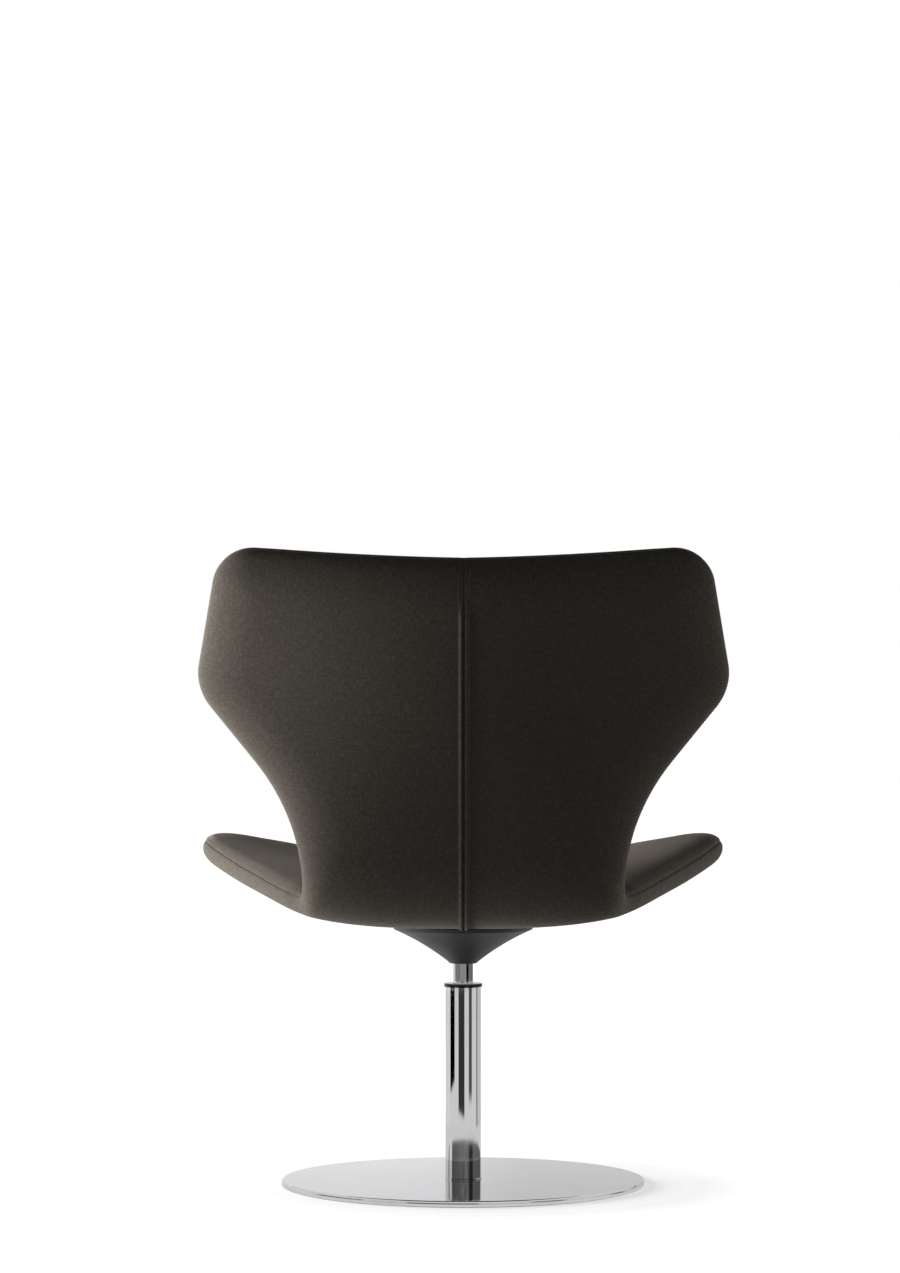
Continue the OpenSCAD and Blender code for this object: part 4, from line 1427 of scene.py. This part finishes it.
@dataclass
class BasePlate:
    """Polished round base plate with its rounded upper edge and the countersunk holes below."""

    radius: float = 255 * MM
    low: float = 1 * MM
    high: float = 9 * MM
    edge_r: float = 4 * MM
    chamfer: float = 0.5 * MM
    screw_circle: float = 17.5 * MM
    screw_r: float = 2.55 * MM
    head_r: float = 5.05 * MM
    recess: float = 0.2 * MM
    steps: int = 256
    hole_steps: int = 32

    def build(self) -> None:
        """Turns the plate and cuts its screw holes."""
        rounded = arc((self.radius - self.edge_r, self.high - self.edge_r), self.edge_r, 0, 90, 10)
        profile = [
            (0, self.low), (self.radius - self.chamfer, self.low), (self.radius, self.low + self.chamfer),
            *rounded, (0, self.high)]
        bm = lathe(profile, self.steps)
        plate = settle("base_plate", bm, Finish.PLATING, "base", crease=40.0)
        self.cut_holes(plate)
        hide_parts("base_disc")

    def cut_holes(self, plate: bpy.types.Object) -> None:
        """Cuts the countersunk screw holes out of the plate.

        Args:
            plate: the plate.
        """
        below, above, cone_low = self.low - MM, self.high + MM, self.low + self.recess
        profile = [
            (0, below), (self.head_r, below), (self.head_r, cone_low),
            (self.screw_r, cone_low + self.head_r - self.screw_r), (self.screw_r, above), (0, above)]
        hole = lathe(profile, self.hole_steps)
        bmesh.ops.recalc_face_normals(hole, faces=hole.faces)
        bmesh.ops.translate(hole, verts=hole.verts, vec=(self.screw_circle, 0, 0))
        single = hole.verts[:] + hole.edges[:] + hole.faces[:]
        for turn in range(1, 4):
            copied = verts_of(bmesh.ops.duplicate(hole, geom=single))
            matrix = Matrix.Rotation(turn * QUARTER, 3, "Z")
            bmesh.ops.rotate(hole, verts=copied, cent=(0, 0, 0), matrix=matrix)
        cutter = shown("holes", as_mesh("holes", hole))
        cut = plate.modifiers.new("holes", "BOOLEAN")
        cut.object, cut.operation, cut.solver = cutter, "DIFFERENCE", "EXACT"
        drilled = evaluated_mesh(plate)
        plate.modifiers.clear()
        plate.data = drilled
        bpy.data.objects.remove(cutter)


@dataclass
class Column:
    """Column tube with its black cap."""

    tube_r: float = 25 * MM
    bore_r: float = 22.5 * MM
    tube_low: float = 10.5 * MM
    tube_high: float = 280.5 * MM
    cap_r: float = 27 * MM
    cap_low: float = 278 * MM
    cap_high: float = 283 * MM
    cap_bevel: float = 0.8 * MM
    cap_bore: float = 14.5 * MM
    cap_play: float = 0.05 * MM
    bore_bevel: float = 0.5 * MM
    tube_bevel: float = 0.3 * MM
    steps: int = 192

    def build(self) -> None:
        """Makes the turned pieces of the column."""
        edge_r, edge_h = self.tube_r - self.tube_bevel, self.tube_bevel
        tube = [
            (self.bore_r, self.tube_low), (edge_r, self.tube_low), (self.tube_r, self.tube_low + edge_h),
            (self.tube_r, self.tube_high - edge_h), (edge_r, self.tube_high), (self.bore_r, self.tube_high)]
        piece = settle(
            "column_tube_polished", lathe(tube, self.steps), Finish.PLATING, "base", crease=30.0)
        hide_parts("column_tube")
        r, b = self.cap_r, self.cap_bevel
        low_corner = arc((r - b, self.cap_low + b), b, -90, 0, 5)
        high_corner = arc((r - b, self.cap_high - b), b, 0, 90, 5)
        step = self.tube_r + self.cap_play
        cap = [
            (step, self.cap_low), *low_corner, *high_corner, (self.cap_bore + self.bore_bevel, self.cap_high),
            (self.cap_bore, self.cap_high - self.bore_bevel), (self.cap_bore, self.tube_high),
            (step, self.tube_high)]
        piece = settle(
            "column_cap_black", lathe(cap, self.steps), Finish.CAP_PLASTIC, "base", crease=40.0)
        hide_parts("column_cap")


@dataclass
class ConeCover:
    """Flared plastic cover under the seat, trimmed to follow the seat's slope."""

    low: float = 311 * MM
    top_r: float = 97.5 * MM
    low_r: float = 20.5 * MM
    height: float = 48 * MM
    slope: float = math.radians(38.6)
    low_rise: float = 1.7 * MM
    wall: float = 2.5 * MM
    bore_r: float = 14.6 * MM
    bore_rise: float = 3 * MM
    lip: float = 14 * MM
    bottom_edge: tuple[Pair, ...] = ((2 * MM, 0.0), (1.2 * MM, 0.2 * MM), (0.5 * MM, 0.8 * MM))
    rim_z: float = 363.64 * MM
    steps: int = 192
    arc_steps: int = 36

    def build(self, form: ShellForm) -> None:
        """Turns the cover and trims its rim to the shell.

        Args:
            form: the shell, whose slope the rim follows.
        """
        chord = Vector((self.top_r - self.low_r, self.height - self.low_rise))
        end_slope = 2 * math.atan2(chord.y, chord.x) - self.slope
        radius = chord.length / (2 * math.sin((self.slope - end_slope) / 2))
        low_z = self.low + self.low_rise
        centre = (self.low_r + radius * math.sin(self.slope), low_z - radius * math.cos(self.slope))
        first, last = 90 + math.degrees(self.slope), 90 + math.degrees(end_slope)
        outside = arc(centre, radius, first, last, self.arc_steps)
        top = self.low + self.height + self.lip
        inner_r = self.top_r - self.wall
        inside = arc(centre, radius + self.wall, first, last, self.arc_steps)
        inside = [(r, z) for r, z in inside if self.bore_r + MM < r < inner_r]
        inner_z = centre[1] + math.sqrt((radius + self.wall) ** 2 - (inner_r - centre[0]) ** 2)
        bottom = [(self.low_r - back, self.low + up) for back, up in self.bottom_edge]
        profile = [
            (self.bore_r, self.low), *bottom, *outside, (self.top_r, top), (inner_r, top), (inner_r, inner_z),
            *reversed(inside), (self.bore_r, self.low + self.bore_rise)]
        bm = lathe(profile, self.steps)
        tilt = Vector((0.0, math.sin(form.axis_slope), math.cos(form.axis_slope)))
        whole = bm.verts[:] + bm.edges[:] + bm.faces[:]
        cut = bmesh.ops.bisect_plane(
            bm, geom=whole, plane_co=(0, 0, self.rim_z), plane_no=tilt, clear_outer=True)
        rim = [e for e in cut["geom_cut"] if isinstance(e, bmesh.types.BMEdge)]
        bmesh.ops.bridge_loops(bm, edges=rim)
        piece = settle("cone_cover_moulding", bm, Finish.COVER_PLASTIC, "seat", crease=35.0)
        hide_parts("cone_cover")


class Hardware:
    """The carried-over pieces of the frame, each with its finish."""

    FINISHES: dict[Finish, tuple[str, ...]] = {
        Finish.RUBBER: ("floor_ring", "grip_ring"),
        Finish.STEEL: (
            "base_screws", "thrust_race_lower", "thrust_race_upper", "thrust_balls", "retaining_washer",
            "circlip"),
        Finish.PLATING: ("column_foot",),
        Finish.STEM_STEEL: ("swivel_stem",),
        Finish.BUSH_PLASTIC: ("lower_bush", "upper_bush"),
        Finish.BRASS: ("ball_cage", "threaded_inserts"),
        Finish.COATED_STEEL: ("seat_plate", "seat_bolts"),
        Finish.WOOD: ("mounting_block",),
        Finish.CORE_PLASTIC: ("core_shell",),
    }

    def dress(self) -> None:
        """Gives each carried-over node its material."""
        for finish, names in self.FINISHES.items():
            for name in names:
                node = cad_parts[name]
                for holder in node.material_slots:
                    holder.material = finish.material
            log.info("%s: %s", finish.name.lower(), ", ".join(names))


# Studio


@dataclass(frozen=True)
class Lamp:
    """A soft lamp that lights the chair and shows in no reflection."""

    name: str
    place: Place
    size: Pair
    power: float
    aim: Place

    def build(self) -> None:
        """Hangs the lamp."""
        data = bpy.data.lights.new(self.name, "AREA")
        data.shape, data.size, data.size_y = "RECTANGLE", *self.size
        data.energy = self.power
        lamp = shown(self.name, data)
        lamp.location = self.place
        lamp.rotation_euler = (Vector(self.aim) - Vector(self.place)).to_track_quat("-Z", "Y").to_euler()
        lamp.visible_camera = False
        lamp.visible_glossy = False


@dataclass(frozen=True)
class Flag:
    """A soft-edged board that only shows as a reflection in the polished pieces.

    Angles are in degrees round the column from the camera's side, negative to the image's left.
    Heights are where its reflection starts and ends on the column.
    """

    name: str
    first: float
    last: float
    low: float
    high: float
    grey: float
    soft: float = 1.5
    fade: float = 6 * MM
    lean: float = 0.0


class Glow(Paint):
    """The wiring of a material that shows its own brightness, and is clear where its mask is 0."""

    def __init__(self, name: str) -> None:
        """Makes the material, whose brightness and mask are still open.

        Args:
            name: its name.
        """
        super().__init__(name)
        self.tree.nodes.remove(self.shader)
        self.light = self.add("Emission", {"Color": WHITE})
        clear = self.add("BsdfTransparent")
        self.masked = self.add("MixShader", {1: clear.outputs[0], 2: self.light.outputs[0]})
        self.surface(self.masked.outputs[0])

    def bearing(self) -> tuple[Socket, Socket]:
        """Adds the angle in degrees round the column from the camera's side, and the height.

        Returns:
            The angle and the height.
        """
        parts = self.add("SeparateXYZ", {0: self.place()})
        turn = self.math("ARCTAN2", self.math("MULTIPLY", parts.outputs[0], -1.0), parts.outputs[1])
        return self.math("DEGREES", turn), parts.outputs[2]

    def finish(self, strength: object, mask: Socket) -> bpy.types.Material:
        """Sets the brightness and the mask, and returns the material.

        Args:
            strength: the brightness, a number or an output.
            mask: 1 where it shows and 0 where it is clear.

        Returns:
            The finished material.
        """
        self.feed(self.light.inputs["Strength"], strength)
        self.feed(self.masked.inputs[0], mask)
        return self.material


@dataclass
class Studio:
    """Pale floor, soft light, reflections and the photograph's camera."""

    fill: float = 0.02
    mirrored: float = 0.92
    floor_half: float = 12.0
    floor_grey: float = 0.33
    speckle: float = 0.01
    floor_bounce: float = 0.14
    # Camera glow of the floor near the chair, lower than further out: a painted shade round the chair's foot.
    glow_in_painted_shade: float = 0.6
    glow_rise: float = 0.26
    painted_shade_reach: Pair = (0.26, 0.5)
    white_reach: Pair = (0.5, 1.1)
    camera_x: float = 0.0185
    camera_y: float = 6.2
    camera_z: float = 0.7694
    lens: float = 124.9
    flag_r: float = 0.75
    column_r: float = 25 * MM
    lamps: tuple[Lamp, ...] = (
        Lamp("key", (2.4, -0.97, 1.23), (3.06, 0.4), 100.0, aim=(0.0, -0.97, 1.23)),
        Lamp("key_low", (2.4, -0.97, 0.75), (3.06, 0.4), 125.0, aim=(0.0, -0.97, 0.75)),
        Lamp("low", (2.23, -0.155, 0.01), (1.1, 1.43), 500.0, aim=(2.23, -0.155, 1.0)),
        Lamp("side", (-2.4, -1.4, 0.3), (2.0, 0.6), 64.0, aim=(0.0, -1.4, 0.3)),
        Lamp("side_mid", (-2.4, 0.6, 0.5), (1.2, 0.8), 14.0, aim=(0.0, 0.6, 0.5)),
        Lamp("top", (0.0, 1.6, 2.6), (2.4, 1.6), 8.0, aim=(0.0, 1.6, 0.0)),
    )
    flags: tuple[Flag, ...] = (
        Flag("flag_left", -90, -56.5, 131 * MM, 284 * MM, 0.0, lean=16 * MM),
        Flag("flag_front", -30, 8, 104 * MM, 284 * MM, 0.045, lean=-8 * MM),
        Flag("flag_right", 36, 57, 122 * MM, 284 * MM, 0.1, 3.0, 14 * MM),
        Flag("flag_far_right", 92, 106, 60 * MM, 284 * MM, 0.32, 4.0, 20 * MM),
        Flag("flag_edge_right", 118, 178, 9 * MM, 278 * MM, 0.78, 8.0),
        Flag("flag_edge_left", -178, -96, 9 * MM, 278 * MM, 1.0, 8.0),
        Flag("stem_left", -104, -50, 284 * MM, 318 * MM, 0.27, 3.0, 1 * MM),
        Flag("stem_line", -50, -40, 284 * MM, 318 * MM, 0.1, 2.0, 1 * MM),
        Flag("stem_middle", -40, 36, 284 * MM, 318 * MM, 0.36, 2.0, 1 * MM),
        Flag("stem_right", 36, 68, 284 * MM, 318 * MM, 0.0, 2.0, 1 * MM),
        Flag("stem_edge", 68, 150, 284 * MM, 318 * MM, 0.2, 6.0, 1 * MM),
        Flag("cap_glint", -150, -62, 279 * MM, 283 * MM, 3.0, 4.0, 0.5 * MM),
    )
    shade_angles: tuple[float, ...] = (-107, -103, -98, -60, 0, 61, 101, 118, 140, 146)
    shade_radii: tuple[float, ...] = (0.38, 0.47, 0.53, 0.575, 0.596, 0.571, 0.531, 0.49, 0.4, 0.34)
    shade_ends: tuple[Pair, Pair] = ((-107, -104), (136, 146))
    shade_inner: float = 0.325
    shade_lift: float = 0.5 * MM
    streak_bands: tuple[tuple[Pair, Pair, float], ...] = (
        ((35, 39), (60, 64), 0.03), ((-99, -96), (-77, -74), 0.95))
    shade_wall: float = 0.275
    wall_ends: Pair = (-106, 142)
    wall_heights: Pair = (1 * MM, 110 * MM)
    wall_step: float = 4.0
    board_foot: float = 20 * MM
    lowest: float = 2 * MM

    def build(self) -> None:
        """Sets the stage, the light and the camera."""
        self.floor()
        self.world()
        for lamp in self.lamps:
            lamp.build()
        for flag in self.flags:
            self.board(flag)
        self.floor_shade()
        self.camera()
        bpy.context.scene.view_settings.view_transform = "Standard"

    def stand(self, name: str, bm: bmesh.types.BMesh, material: bpy.types.Material) -> bpy.types.Object:
        """Turns a bmesh into a stage object.

        Args:
            name: its name.
            bm: its mesh, which is freed.
            material: its material.

        Returns:
            The object.
        """
        item = shown(name, as_mesh(name, bm))
        item.data.materials.append(material)
        return item

    def reflect(self, name: str, bm: bmesh.types.BMesh, material: bpy.types.Material) -> None:
        """Turns a bmesh into a stage object that only shows in reflections.

        Args:
            name: its name.
            bm: its mesh, which is freed.
            material: its material.
        """
        item = self.stand(name, bm, material)
        item.visible_camera = False
        item.visible_diffuse = False
        item.visible_shadow = False
        item.visible_transmission = False

    def floor(self) -> None:
        """Lays a pale floor that turns plain white away from the chair and keeps the chair's shadow; near the
        chair its glow is lower, a painted shade round the chair's foot.
        """
        w = Paint("pale_floor", Roughness=0.7, Specular_IOR_Level=0.1, Emission_Color=WHITE)
        place = w.place()
        away = w.add("VectorMath", {0: place}, operation="LENGTH").outputs["Value"]
        speck = w.noise(place, 30.0, 3.0)
        grey = w.spread(speck, 0.0, 1.0, self.floor_grey - self.speckle, self.floor_grey + self.speckle)
        seen = w.add("LightPath")
        # The glow to the camera is lower near the chair and rises away from it: painted shade round the
        # chair's foot, on top of the real shadow.
        near = w.spread(away, *self.painted_shade_reach, self.glow_in_painted_shade, self.glow_in_painted_shade + self.glow_rise)
        glow = w.math("MAXIMUM", near, w.spread(away, *self.white_reach, 0.5, 1.0))
        bounce = w.math("MULTIPLY", seen.outputs["Is Diffuse Ray"], self.floor_bounce)
        w.drive(
            Base_Color=w.add("CombineColor", {0: grey, 1: grey, 2: grey}).outputs[0],
            Emission_Strength=w.math("MULTIPLY_ADD", seen.outputs["Is Camera Ray"], glow, bounce))
        bright = w.add("Emission", {"Color": WHITE, "Strength": self.mirrored})
        mirrored = w.math("MAXIMUM", seen.outputs["Is Glossy Ray"], seen.outputs["Is Transmission Ray"])
        mixed = w.add("MixShader", {0: mirrored, 1: w.shader.outputs[0], 2: bright.outputs[0]})
        w.surface(mixed.outputs[0])
        bm = bmesh.new()
        bmesh.ops.create_grid(bm, x_segments=4, y_segments=4, size=self.floor_half)
        self.stand("floor", bm, w.material)

    def world(self) -> None:
        """Fills the room with weak soft light, and shows it white to the camera and to metal."""
        world = bpy.data.worlds.new("room")
        world.use_nodes = True
        bpy.context.scene.world = world
        w = Wiring(world.node_tree)
        seen = w.add("LightPath")
        direct = w.math("MAXIMUM", seen.outputs["Is Camera Ray"], seen.outputs["Is Transmission Ray"])
        level = w.blend(seen.outputs["Is Glossy Ray"], self.fill, self.mirrored)
        sky = world.node_tree.nodes["Background"]
        w.feed(sky.inputs["Color"], WHITE)
        w.feed(sky.inputs["Strength"], w.blend(direct, level, 1.0))

    def arc_wall(
        self, radius: float, first: float, last: float, low: float, high: float
    ) -> bmesh.types.BMesh:
        """Spins an upright edge into a wall round the column.

        Args:
            radius: distance of the wall.
            first: bearing of its first end, in degrees.
            last: bearing of its last end.
            low: height of its foot.
            high: height of its top.

        Returns:
            The wall.
        """
        bm = bmesh.new()
        start = math.radians(first)
        x, y = -radius * math.sin(start), radius * math.cos(start)
        ends = [bm.verts.new((x, y, low)), bm.verts.new((x, y, high))]
        edge = bm.edges.new(ends)
        steps = max(3, round(abs(last - first) / self.wall_step))
        bmesh.ops.spin(bm, geom=ends + [edge], axis=(0, 0, 1), angle=math.radians(last - first), steps=steps)
        return bm

    def mirrored_at(self, height: float) -> float:
        """Height at the boards that the column shows at a height of its own."""
        return height - (self.flag_r - self.column_r) * (self.camera_z - height) / self.camera_y

    def board(self, flag: Flag) -> None:
        """Stands a board where its reflection takes up the flag's part of the column.

        Args:
            flag: the board and its part of the column.
        """
        low, high = self.mirrored_at(flag.low), self.mirrored_at(flag.high)
        first, last = flag.first - flag.soft, flag.last + flag.soft
        w = Glow(flag.name)
        turn, height = w.bearing()
        rise = w.math("SUBTRACT", height, w.spread(turn, flag.first, flag.last, 0.0, flag.lean))
        across = w.band(turn, (first, flag.first + flag.soft), (flag.last - flag.soft, last))
        mask = w.math("MULTIPLY", across, w.spread(rise, low - flag.fade, low + flag.fade))
        foot = max(low - flag.fade - self.board_foot, self.lowest)
        wall = self.arc_wall(self.flag_r, first, last, foot, high)
        self.reflect(flag.name, wall, w.finish(flag.grey, mask))

    def streaks(self, w: Glow, turn: Socket) -> Socket:
        """Brightness of the things that stand low in front of the base.

        Args:
            w: the wiring of the material that shows them.
            turn: the bearing.

        Returns:
            The brightness.
        """
        mottle = w.noise(w.stretched(w.place(), (26.0, 7.0, 9.0)), 1.0, 3.0, 0.6)
        level = w.spread(mottle, 0.38, 0.62, 0.12, 0.3)
        middle = w.spread(turn, -75, -25, 0.13, 0.17)
        level = w.blend(w.band(turn, (-30, -18), (24, 36)), middle, level)
        for rise, fall, streak in self.streak_bands:
            level = w.blend(w.band(turn, rise, fall), level, streak)
        return w.blend(w.spread(turn, -104, -101), 0.05, level)

    def floor_shade(self) -> None:
        """Lays the dark patch of floor that shows in the foot of the column, and its upright part.

        The upright part only shows after a second reflection, in the base plate.
        """
        bm = bmesh.new()
        bmesh.ops.create_circle(bm, segments=180, radius=1.0)
        outer = bm.verts[:]
        bmesh.ops.create_circle(bm, segments=180, radius=self.shade_inner)
        for vertex in outer:
            turn = math.degrees(math.atan2(-vertex.co.x, vertex.co.y))
            vertex.co *= float(np.interp(turn, self.shade_angles, self.shade_radii))
        bmesh.ops.bridge_loops(bm, edges=bm.edges[:])
        bmesh.ops.translate(bm, verts=bm.verts, vec=(0, 0, self.shade_lift))
        w = Glow("floor_shade")
        turn = w.bearing()[0]
        self.reflect("floor_shade", bm, w.finish(self.streaks(w, turn), w.band(turn, *self.shade_ends)))
        w = Glow("low_wall")
        again = w.math("GREATER_THAN", w.add("LightPath").outputs["Ray Depth"], 1.5)
        wall = self.arc_wall(self.shade_wall, *self.wall_ends, *self.wall_heights)
        self.reflect("low_wall", wall, w.finish(self.streaks(w, w.bearing()[0]), again))

    def camera(self) -> None:
        """Sets up the photograph's level camera behind the chair."""
        data = bpy.data.cameras.new("camera")
        data.lens, data.sensor_width, data.sensor_fit = self.lens, 36.0, "AUTO"
        data.clip_end = 100.0
        camera = shown("camera", data)
        camera.location = (self.camera_x, self.camera_y, self.camera_z)
        camera.rotation_euler = (QUARTER, 0, math.pi)
        bpy.context.scene.camera = camera


def main() -> None:
    """Builds the studio and every piece in order."""
    logging.basicConfig(level=logging.INFO, format="%(name)s: %(message)s")
    upholstery = Upholstery()
    Studio().build()
    Hardware().dress()
    BasePlate().build()
    Column().build()
    ConeCover().build(upholstery.form)
    upholstery.build()


if __name__ == "__main__":
    main()
